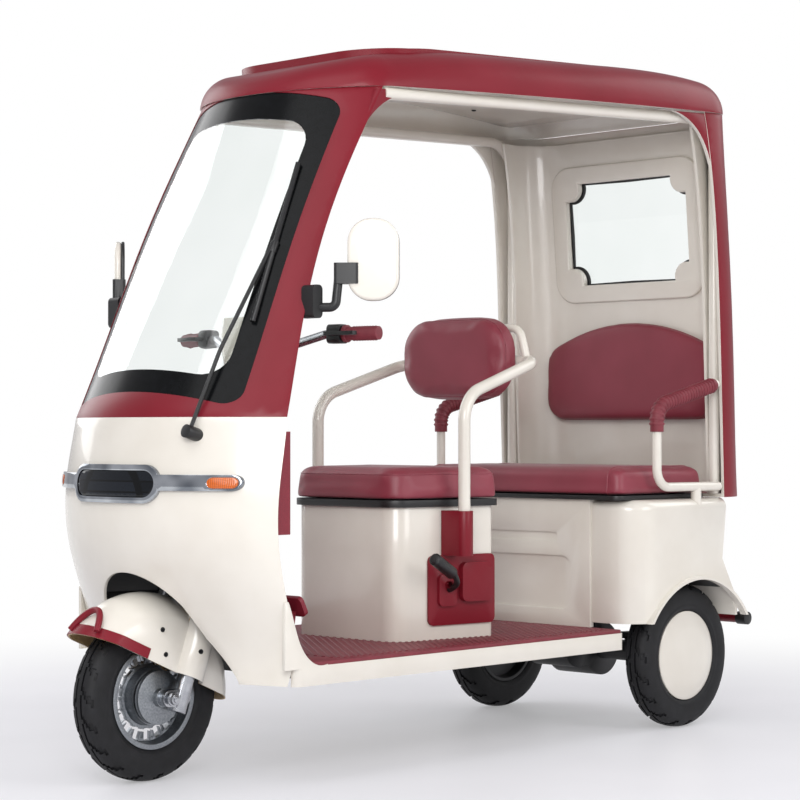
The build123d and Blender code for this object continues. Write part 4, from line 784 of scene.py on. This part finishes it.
ACROSS = Vector((0, 1, 0))
UPRIGHT = Vector((0, 0, 1))
SCREEN_FOOT = Vector((0.9664, 0, 0.942))
SCREEN_UP = Vector((-0.4398, 0, 0.8981))
SCREEN_OUT = Vector((0.8981, 0, 0.4398))
opening = rounded([(-0.246, 0.062), (0.246, 0.062), (0.230, 0.772), (-0.230, 0.772)], 0.066)
opening_tool = block(laid(opening, SCREEN_FOOT, ACROSS, SCREEN_UP), SCREEN_OUT * 0.7)
pane = carve(cast_copy("windscreen"), opening_tool, "INTERSECT")
smooth(30)
fit(pane, "windscreen_glass", body_of("windscreen"), clear_glass, "clear_glass", "windscreen")
border = carve(cast_copy("windscreen"), opening_tool, "DIFFERENCE")
smooth(30)
fit(border, "windscreen_border", body_of("windscreen"), black_print, "clear_glass", "windscreen")
bpy.data.objects.remove(opening_tool)

# Wiper and mirrors: a black arm with a rubber blade on a spindle in the cowl, and two mirrors
# with cream backs in black rims, on black arms clamped to the pillars.
skin("wiper", black_moulded, "black_plastic", 0.001)
arms = cast_copy("mirrors")
MIRROR_HEAD = Vector((0.610, 0.476, 1.256))
MIRROR_TOE = radians(40)


def mirror_line(turn):
    """Middle, outward direction and facing of a mirror's head."""
    return (
        MIRROR_HEAD * Vector((1, turn, 1)),
        Vector((-sin(MIRROR_TOE), turn * cos(MIRROR_TOE), 0)),
        Vector((cos(MIRROR_TOE), turn * sin(MIRROR_TOE), 0)),
    )


def in_a_head(middle, normal):
    """Faces that belong to either mirror's head."""
    for turn in (1, -1):
        centre, out, aim = mirror_line(turn)
        off = middle - centre
        if abs(off.dot(out)) < 0.0625 and abs(off.z) < 0.099 and abs(off.dot(aim)) < 0.0132:
            return True
    return False


choose(arms, "FACE", in_a_head)
bpy.ops.mesh.delete(type="FACE")
take(arms)
smooth(32)
fit(arms, "mirror_arms", body_of("mirrors"), black_moulded, "black_plastic", "mirrors")

# Silvered glass: a plain bright mirror, faintly grey, with a little haze near the rim.
silvered = grained(
    "silvered_glass",
    tone=(9.0, 2.0),
    ramp=((0.3, "#C9CDD0"), (0.75, "#DADDE0")),
    shader={"Metallic": 1.0, "Roughness": 0.03},
)
for turn, side in ((1, "left"), (-1, "right")):
    centre, out, aim = mirror_line(turn)
    shape = oblong(0.062, 0.0985, 0.057, 10)
    back = block(laid(shape, centre + aim * 0.004, out, UPRIGHT), aim * 0.018)
    eased(back, 0.008, 50, 4)
    smooth(40)
    fit(back, "mirror_back_" + side, body_of("mirrors"), cream_enamel, "cream_paint", "mirrors")
    rim = block(laid(shape, centre - aim * 0.009, out, UPRIGHT), aim * 0.008)
    eased(rim, 0.002, 50)
    choose(rim, "FACE", lambda middle, normal: normal.dot(aim) < -0.95)
    bpy.ops.mesh.inset(thickness=0.005)
    bpy.ops.mesh.extrude_region_move(TRANSFORM_OT_translate={"value": aim * 0.002})
    take(rim)
    smooth(40)
    fit(rim, "mirror_rim_" + side, body_of("mirrors"), black_moulded, "black_plastic", "mirrors")
    plate = block(laid(oblong(0.056, 0.0925, 0.051, 10), centre - aim * 0.0112, out, UPRIGHT), aim * 0.0014)
    eased(plate, 0.0005, 50)
    fit(plate, "mirror_glass_" + side, body_of("mirrors"), silvered, "chrome_trim", "mirrors")

# Floor pan and mat: a cream steel pan with deep folded sills, and a burgundy rubber mat
# with a smooth border round diagonal ribs 17 mm apart.
skin("floor_pan", cream_enamel, "cream_paint", 0.002)
skin("floor_mat", burgundy_rubber, "burgundy_rubber", 0.001)
RIB_PITCH = 0.017
MAT_MIDDLE = 0.152
mat_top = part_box("floor_mat")[1].z
inside = rounded([(-0.452, -0.352), (0.606, -0.352), (0.606, 0.352), (-0.452, 0.352)], 0.030)
plan = block([Vector((x, y, mat_top)) for x, y in inside], (0, 0, 0.02))
take(None)
bpy.ops.mesh.primitive_cube_add(size=1, location=(MAT_MIDDLE - 0.95, 0, mat_top + 0.0002))
ribs = bpy.context.object
ribs.scale = (RIB_PITCH / 2, 1.6, 0.0034)
bpy.ops.object.transform_apply(location=True, scale=True)
choose(ribs, "EDGE", lambda middle, run: abs(run.y) > 0.9 and middle.z > mat_top)
bpy.ops.mesh.bevel(offset=0.0014, segments=1)
take(ribs)
row = ribs.modifiers.new("row", "ARRAY")
row.use_relative_offset = False
row.use_constant_offset = True
row.constant_offset_displace = (RIB_PITCH, 0, 0)
row.count = 112
bpy.ops.object.modifier_apply(modifier=row.name)
opened(ribs)
bpy.ops.transform.rotate(value=radians(38), orient_axis="Z", center_override=(MAT_MIDDLE, 0, 0))
take(ribs)
carve(ribs, plan, "INTERSECT")
bpy.data.objects.remove(plan)
fit(ribs, "mat_ribs", body_of("floor_mat"), burgundy_rubber, "burgundy_rubber")

# Driver's seat box: a tapered cream moulding on the floor, with a burgundy control plate,
# a black parking lever, and burgundy sockets for the backrest's tube.
skin("seat_box", cream_enamel, "cream_paint", 0.0015)
fittings = skin("seat_fittings", burgundy_coat, "burgundy_paint", 0.002)
plate_out = Vector((0.1479, 1, 0)).normalized()
plate_at = Vector((0.018, 0.2202, 0.428)).dot(plate_out)
choose(
    fittings,
    "FACE",
    lambda middle, normal: 0.0262 < middle.dot(plate_out) - plate_at < 0.08 and middle.y > 0 and middle.z < 0.51,
)
bpy.ops.mesh.delete(type="FACE")
take(fittings)
stem = rod([(0.074, 0.232, 0.430), (0.080, 0.262, 0.440), (0.092, 0.277, 0.458), (0.110, 0.280, 0.476)], 0.008)
fit(stem, "parking_lever_stem", body_of("seat_fittings"), black_moulded, "black_plastic")
take(None)
bpy.ops.mesh.primitive_cylinder_add(vertices=20, radius=0.0165, depth=0.096, location=(0, 0, 0))
handle = bpy.context.object
choose(handle, "FACE", lambda middle, normal: abs(normal.z) > 0.9)
bpy.ops.mesh.inset(thickness=0.004)
bpy.ops.mesh.extrude_region_shrink_fatten(TRANSFORM_OT_shrink_fatten={"value": 0.004})
eased(handle, 0.003, 30, 3)
handle.data.transform(
    Matrix.Translation((0.154, 0.284, 0.497))
    @ Vector((0.062, 0.012, 0.030)).to_track_quat("Z", "Y").to_matrix().to_4x4()
)
smooth(40)
fit(handle, "parking_lever_handle", body_of("seat_fittings"), black_moulded, "black_plastic")
skin("seat_pan", black_moulded, "black_plastic", 0.003)
skin("seat_tube", cream_enamel, "cream_paint")

# Driver's cushion and backrest: cut foam in sewn burgundy vinyl, stapled to boards.
# The cover is tight, crowned on top, with a sewn seam where the top meets the sides.
# Vinyl leathercloth: soft low gloss, a pebble grain near 1.5 mm drawn at 3 mm, paler where it is stretched.
vinyl, spot = new_finish("burgundy_vinyl_leathercloth")
cloud = add_node(vinyl, "ShaderNodeTexNoise", inputs={"Scale": 7.0, "Detail": 2.0}, links={"Vector": (spot, "Object")})
shade = add_node(vinyl, "ShaderNodeValToRGB", links={"Fac": (cloud, "Fac")}, ramp=((0.3, "#7C2C39"), (0.75, "#863341")))
pebble = add_node(
    vinyl,
    "ShaderNodeTexVoronoi",
    settings={"feature": "SMOOTH_F1"},
    inputs={"Scale": 330.0},
    links={"Vector": (spot, "Object")},
)
grit = add_node(
    vinyl, "ShaderNodeBump", inputs={"Strength": 0.14, "Distance": 0.0006}, links={"Height": (pebble, "Distance")}
)
coat = add_node(
    vinyl,
    "ShaderNodeBsdfPrincipled",
    inputs={"Roughness": 0.44, "IOR": 1.5, "Sheen Weight": 0.12, "Sheen Roughness": 0.4},
    links={"Base Color": (shade, "Color"), "Normal": (grit, "Normal")},
)
add_node(vinyl, "ShaderNodeOutputMaterial", links={"Surface": (coat, 0)})


def stuffed(node, voxel, trim, cap, rests):
    """A cushion: a smaller copy of the solid, blown up as cloth round its foam, held where it rests."""
    low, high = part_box(node)
    size = high - low
    piece = cast_copy(node)
    opened(piece)
    bpy.ops.transform.resize(value=[1 - 2 * trim / s for s in size], center_override=(low + high) / 2)
    take(piece)
    piece.data.remesh_voxel_size = voxel
    bpy.ops.object.voxel_remesh()
    flat = piece.vertex_groups.new(name="board")
    flat.add([v.index for v in piece.data.vertices if rests(v.co)], 1.0, "REPLACE")
    before = [v.co.copy() for v in piece.data.vertices]
    cover = piece.modifiers.new("stuffing", "CLOTH")
    cover.settings.quality = 5
    cover.settings.mass = 0.3
    cover.settings.tension_stiffness = 12
    cover.settings.compression_stiffness = 12
    cover.settings.use_pressure = True
    cover.settings.uniform_pressure_force = 4
    cover.settings.effector_weights.gravity = 0
    cover.settings.vertex_group_mass = flat.name
    cover.point_cache.frame_end = 20
    for step in range(1, 21):
        bpy.context.scene.frame_set(step)
    bpy.ops.object.modifier_apply(modifier=cover.name)
    bpy.context.scene.frame_set(1)
    for point, place in zip(piece.data.vertices, before):
        move = point.co - place
        if move.length > cap:
            point.co = place + move * (cap / move.length)
    opened(piece)
    bpy.ops.mesh.vertices_smooth(factor=0.5, repeat=14)
    take(piece)
    finer = piece.modifiers.new("finer", "SUBSURF")
    finer.levels = finer.render_levels = 1
    bpy.ops.object.modifier_apply(modifier=finer.name)
    smooth(60)
    fit(piece, node + "_cover", body_of(node), vinyl, "burgundy_leather", node)
    return piece


def seamed(cover, name, node, cuts, radius=0.0018):
    """Sewn seams: the line where each plane cuts a cover, given the thickness of a welt."""
    lines = []
    for place, away in cuts:
        line = placed(name, cover.data.copy())
        opened(line)
        bpy.ops.mesh.bisect(plane_co=place, plane_no=away, clear_inner=True, clear_outer=True)
        take(line)
        bpy.ops.object.convert(target="CURVE")
        line = bpy.context.object
        line.data.bevel_depth = radius
        line.data.bevel_resolution = 1
        bpy.ops.object.convert(target="MESH")
        lines.append(bpy.context.object)
    welt = joined(lines)
    smooth(60)
    return fit(welt, name, body_of(node), vinyl, "burgundy_leather")


low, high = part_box("driver_cushion")
board = low.z + 0.014
cover = stuffed("driver_cushion", 0.005, 0.003, 0.006, lambda p: p.z < board)
seamed(cover, "driver_cushion_seams", "driver_cushion", [((0, 0, high.z - 0.017), (0, 0, 1))])
low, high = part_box("driver_backrest")
board = low.x + 0.012
cover = stuffed("driver_backrest", 0.005, 0.003, 0.006, lambda p: p.x < board)
seamed(cover, "driver_backrest_seams", "driver_backrest", [((high.x - 0.022, 0, 0), (1, 0, 0))])

# Rear body: a cream moulding with a boxed housing over each wheel, joined by the tail panel,
# with black liners in the arches, tail lamps and a bumper bar with black end knobs.
skin("rear_body", cream_enamel, "cream_paint", 0.0015)
skin("rear_liners", black_moulded, "black_plastic")

# Red acrylic: clear red with upright flutes 5 mm apart, each painted darker and lighter across its width as painted
# light and shade.
red_lens = fluted("red_acrylic", 63.0, ((0.0, "#7E1016"), (1.0, "#B01B22")))
skin("tail_lamps", red_lens, "red_lens", 0.003)
bumper = skin("rear_bumper", burgundy_coat, "burgundy_paint", 0.001)
KNOB_FROM = 0.335
repaint(bumper, black_moulded, lambda middle, normal: abs(middle.y) > KNOB_FROM)

# Passenger bench: a cream base panel with a slot and a pressed recess, a black pan,
# and a wide cushion and backrest in the same vinyl, with sewn end gussets.
skin("bench_base", cream_enamel, "cream_paint", 0.0015)
skin("bench_pan", black_moulded, "black_plastic", 0.003)
low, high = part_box("bench_cushion")
board = low.z + 0.014
cover = stuffed("bench_cushion", 0.006, 0.003, 0.006, lambda p: p.z < board)
seamed(
    cover,
    "bench_cushion_seams",
    "bench_cushion",
    [((0, high.y - 0.05, 0), (0, 1, 0)), ((0, low.y + 0.05, 0), (0, 1, 0))],
)
low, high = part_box("bench_backrest")
board = low.x + 0.010
cover = stuffed("bench_backrest", 0.006, 0.003, 0.006, lambda p: p.x < board)
seamed(cover, "bench_backrest_seams", "bench_backrest", [((high.x - 0.02, 0, 0), (1, 0, 0))])

# Armrests: cream bent tubes bolted to the wheel housings, each with a ribbed burgundy sleeve
# pushed over its top and round its front bend.
skin("armrests", cream_enamel, "cream_paint")
skin("armrest_sleeves", burgundy_rubber, "burgundy_rubber", 0.001)
SLEEVE_BEND = 0.052
SLEEVE_PITCH = 0.013
SLEEVE_LINE = [Vector((-0.860, 0.410, 0.9806)), Vector((-0.592, 0.410, 0.916)), Vector((-0.592, 0.410, 0.845))]
before = (SLEEVE_LINE[1] - SLEEVE_LINE[0]).normalized()
after = (SLEEVE_LINE[2] - SLEEVE_LINE[1]).normalized()
swing = before.angle(after)
reach = SLEEVE_BEND * sin(swing / 2) / cos(swing / 2)
straight = (SLEEVE_LINE[1] - SLEEVE_LINE[0]).length - reach
bend = SLEEVE_BEND * swing
total = straight + bend + (SLEEVE_LINE[2] - SLEEVE_LINE[1]).length - reach
pivot = SLEEVE_LINE[0] + before * straight + (after - before * before.dot(after)).normalized() * SLEEVE_BEND
spin_axis = before.cross(after).normalized()
stations = []
for i in range(1, int(total / SLEEVE_PITCH)):
    far = i * SLEEVE_PITCH
    if far < straight:
        stations.append((SLEEVE_LINE[0] + before * far, before))
    elif far < straight + bend:
        turned = Matrix.Rotation((far - straight) / SLEEVE_BEND, 3, spin_axis)
        stations.append((pivot + turned @ (SLEEVE_LINE[0] + before * straight - pivot), turned @ before))
    else:
        stations.append((SLEEVE_LINE[1] + after * (reach + far - straight - bend), after))
for turn, side in ((1, "left"), (-1, "right")):
    flip = Vector((1, turn, 1))
    ringed(
        "sleeve_ribs_" + side,
        body_of("armrest_sleeves"),
        [(place * flip, aim * flip) for place, aim in stations],
        0.0178,
        0.0046,
    )

# Rear wall: a burgundy outer shell and a cream inner lining, moulded apart and bolted at four bosses
# round the window, whose pane sits in a black rubber seal. The shell's inner faces are sprayed cream.
shell = skin("rear_shell", burgundy_coat, "burgundy_paint", 0.0015)
repaint(
    shell,
    cream_enamel,
    lambda middle, normal: normal.dot(Vector((-0.6, 0, middle.z)) - middle) > 0.02 and abs(normal.z) < 0.6,
)
skin("rear_lining", cream_enamel, "cream_paint", 0.0015)
skin("rear_window", clear_glass, "clear_glass")
WINDOW_AT = Vector((-1.016, 0, 1.460))
WINDOW_UP = Vector((0.0845, 0, 0.9964))
WINDOW_IN = Vector((0.9964, 0, -0.0845))

# Extruded rubber seal: black, dull, with a faint lengthwise bloom.
seal_rubber = grained(
    "black_seal_rubber",
    tone=(50.0, 2.0),
    ramp=((0.3, "#141415"), (0.75, "#1F1F21")),
    shader={"Roughness": 0.55, "IOR": 1.52},
)
seal = cast_copy("rear_window")
low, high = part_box("rear_window")
opened(seal)
bpy.ops.mesh.bisect(plane_co=(low + high) / 2, plane_no=WINDOW_IN, clear_inner=True, clear_outer=True)
take(seal)
bpy.ops.object.convert(target="CURVE")
seal = bpy.context.object
seal.data.bevel_depth = 0.0065
seal.data.bevel_resolution = 2
bpy.ops.object.convert(target="MESH")
seal = bpy.context.object
smooth(50)
fit(seal, "rear_window_seal", body_of("rear_window"), seal_rubber, "black_plastic")
BOSS_U = 0.217
BOSS_V = 0.1455
notch = [
    Vector((BOSS_U + 0.042 * cos(radians(t)), BOSS_V + 0.042 * sin(radians(t))))
    for t in [-71.9 - 124.7 * i / 8 for i in range(9)]
]
window_edge = []
for flip_u, flip_v in ((1, 1), (-1, 1), (-1, -1), (1, -1)):
    corner = [Vector((p.x * flip_u, p.y * flip_v)) for p in notch]
    window_edge += corner if flip_u * flip_v > 0 else corner[::-1]
frame_edge = oblong(0.284, 0.212, 0.070, 8)
ring_at = WINDOW_AT + WINDOW_IN * 0.029
ring = block(laid(frame_edge, ring_at, ACROSS, WINDOW_UP), WINDOW_IN * 0.018)
hole = block(laid(window_edge, ring_at, ACROSS, WINDOW_UP), WINDOW_IN * 0.060)
carve(ring, hole, "DIFFERENCE")
bpy.data.objects.remove(hole)
eased(ring, 0.006, 50, 4)
smooth(40)
fit(ring, "rear_window_surround", body_of("rear_lining"), cream_enamel, "cream_paint")
bolted(
    "lining_bolts",
    "rear_lining",
    0.009,
    laid([(u, v) for u in (-BOSS_U, BOSS_U) for v in (-BOSS_V, BOSS_V)], WINDOW_AT, ACROSS, WINDOW_UP),
    -WINDOW_IN,
)

# Side frames: cream bent tubes from the screen frame to the rear wall that carry the roof.
# The ceiling lining is a cream moulding screwed up to them.
skin("side_frames", cream_enamel, "cream_paint")
skin("headliner", cream_enamel, "cream_paint", 0.002)
bolted(
    "ceiling_screws",
    "headliner",
    0.007,
    [(x, turn * 0.30, 1.70) for x in (0.25, -0.25, -0.62) for turn in (1, -1)],
    (0, 0, 1),
)

# Eave gussets: rounded burgundy webs bonded where the pillars and the rear wall meet the roof.
# Their inner faces and curved edges are cream like the lining.
for name, corner, low_end, far_end, y_out, thick in (
    ("front", (0.452, 1.700), (0.506, 1.585), (0.318, 1.703), 0.333, 0.026),
    ("rear", (-0.816, 1.760), (-0.842, 1.610), (-0.660, 1.752), 0.4185, 0.012),
):
    a, b, c = Vector(low_end), Vector(corner), Vector(far_end)
    pull = b + (a + c - b * 2) * 0.14
    curve = [a * (1 - t) ** 2 + pull * 2 * t * (1 - t) + c * t * t for t in [i / 12 for i in range(13)]]
    for turn, side in ((1, "left"), (-1, "right")):
        outline = [Vector((p.x, turn * (y_out - thick / 2), p.y)) for p in curve]
        outline.append(Vector((b.x, turn * (y_out - thick / 2), b.y)))
        web = block(outline, (0, thick, 0))
        eased(web, 0.003, 50)
        smooth(40)
        web.data.materials.append(burgundy_coat)
        repaint(
            web,
            cream_enamel,
            lambda middle, normal: normal.y * turn < 0.5 and normal.x * b.x < 0.3 * abs(b.x),
        )
        fit(web, f"eave_gusset_{name}_{side}", body_of("roof"), None, "burgundy_paint")

# Roof: one burgundy moulding with a raised panel and rounded shoulders, bolted down on the frames.
# Its underside is cream where it shows past the ceiling lining.
canopy = skin("roof", burgundy_coat, "burgundy_paint", 0.0015)
CABIN_MIDDLE = Vector((-0.2, 0, 1.5))
repaint(canopy, cream_enamel, lambda middle, normal: normal.dot(CABIN_MIDDLE - middle) > 0)
bpy.data.objects.remove(button)

# Floor, light and camera: a plain pale studio floor that fades to white, soft lamps,
# and the photograph's viewpoint.
take(None)
bpy.ops.mesh.primitive_plane_add(size=60, location=(0, 0, 0))
floor = bpy.context.object
floor.name = "studio_floor"
floor_paint, spot = new_finish("studio_floor_paint")
rays = add_node(floor_paint, "ShaderNodeLightPath")
stretch = add_node(floor_paint, "ShaderNodeVectorMath", settings={"operation": "LENGTH"}, links={0: (spot, "Object")})
fade = add_node(
    floor_paint,
    "ShaderNodeMapRange",
    settings={"interpolation_type": "SMOOTHSTEP"},
    inputs={"From Min": 1.2, "From Max": 3.6, "To Min": 0.3},
    links={"Value": (stretch, "Value")},
)
mottle = add_node(floor_paint, "ShaderNodeTexNoise", inputs={"Scale": 2.0}, links={"Vector": (spot, "Object")})
shade = add_node(
    floor_paint, "ShaderNodeValToRGB", links={"Fac": (mottle, "Fac")}, ramp=((0.3, "#E4E3E9"), (0.75, "#E9E8EE"))
)
plain = add_node(
    floor_paint,
    "ShaderNodeBsdfPrincipled",
    inputs={"Roughness": 0.4, "IOR": 1.35},
    links={"Base Color": (shade, "Color")},
)
glow = add_node(floor_paint, "ShaderNodeEmission", inputs={"Color": (1, 1, 1, 1), "Strength": 1.0})
seen = add_node(
    floor_paint,
    "ShaderNodeMath",
    settings={"operation": "MAXIMUM"},
    links={0: (rays, "Is Camera Ray"), 1: (rays, "Is Glossy Ray")},
)
seen = add_node(
    floor_paint,
    "ShaderNodeMath",
    settings={"operation": "MAXIMUM"},
    links={0: (seen, 0), 1: (rays, "Is Transmission Ray")},
)
both = add_node(floor_paint, "ShaderNodeMath", settings={"operation": "MULTIPLY"}, links={0: (seen, 0), 1: (fade, 0)})
mixed = add_node(floor_paint, "ShaderNodeMixShader", links={0: (both, 0), 1: (plain, 0), 2: (glow, 0)})
add_node(floor_paint, "ShaderNodeOutputMaterial", links={"Surface": (mixed, 0)})
floor.data.materials.append(floor_paint)

world = bpy.context.scene.world or bpy.data.worlds.new("studio")
bpy.context.scene.world = world
world.use_nodes = True
world.node_tree.nodes.clear()
rays = add_node(world, "ShaderNodeLightPath")
room = add_node(world, "ShaderNodeBackground", inputs={"Color": hexed("#F2F2F6"), "Strength": 0.55})
white = add_node(world, "ShaderNodeBackground", inputs={"Color": (1, 1, 1, 1), "Strength": 1.0})
seen = add_node(
    world,
    "ShaderNodeMath",
    settings={"operation": "MAXIMUM"},
    links={0: (rays, "Is Camera Ray"), 1: (rays, "Is Transmission Ray")},
)
either = add_node(world, "ShaderNodeMixShader", links={0: (seen, 0), 1: (room, 0), 2: (white, 0)})
add_node(world, "ShaderNodeOutputWorld", links={"Surface": (either, 0)})

for name, place, aim, size, power in (
    ("top_softbox", (3.2, 0.6, 3.8), (0.2, 0, 0.9), 2.6, 45),
    ("key_softbox", (3.9, 3.3, 2.3), (-0.2, 0, 0.8), 2.0, 120),
    ("side_softbox", (-0.8, 4.6, 2.4), (-0.4, 0, 0.9), 2.4, 70),
    ("back_softbox", (-3.6, 1.4, 3.2), (-0.3, 0, 1.0), 2.4, 40),
    ("far_softbox", (0.5, -4.0, 2.6), (0, 0, 1.0), 2.8, 60),
):
    softbox = bpy.data.lights.new(name, "AREA")
    softbox.shape = "SQUARE"
    softbox.size = size
    softbox.energy = power
    lamp = placed(name, softbox)
    lamp.location = place
    lamp.rotation_mode = "QUATERNION"
    lamp.rotation_quaternion = (Vector(aim) - Vector(place)).to_track_quat("-Z", "Y")

lens = bpy.data.cameras.new("photo_camera")
lens.lens = 99
lens.sensor_width = 36
camera = placed("photo_camera", lens)
camera.location = (4.357, 4.138, 0.847)
turn, tip = radians(133.65), radians(-0.81)
back = Vector((sin(turn) * cos(tip), -cos(turn) * cos(tip), sin(tip)))
camera.rotation_mode = "QUATERNION"
camera.rotation_quaternion = (-back).to_track_quat("-Z", "Y")
bpy.context.scene.camera = camera
bpy.context.scene.view_settings.view_transform = "Standard"
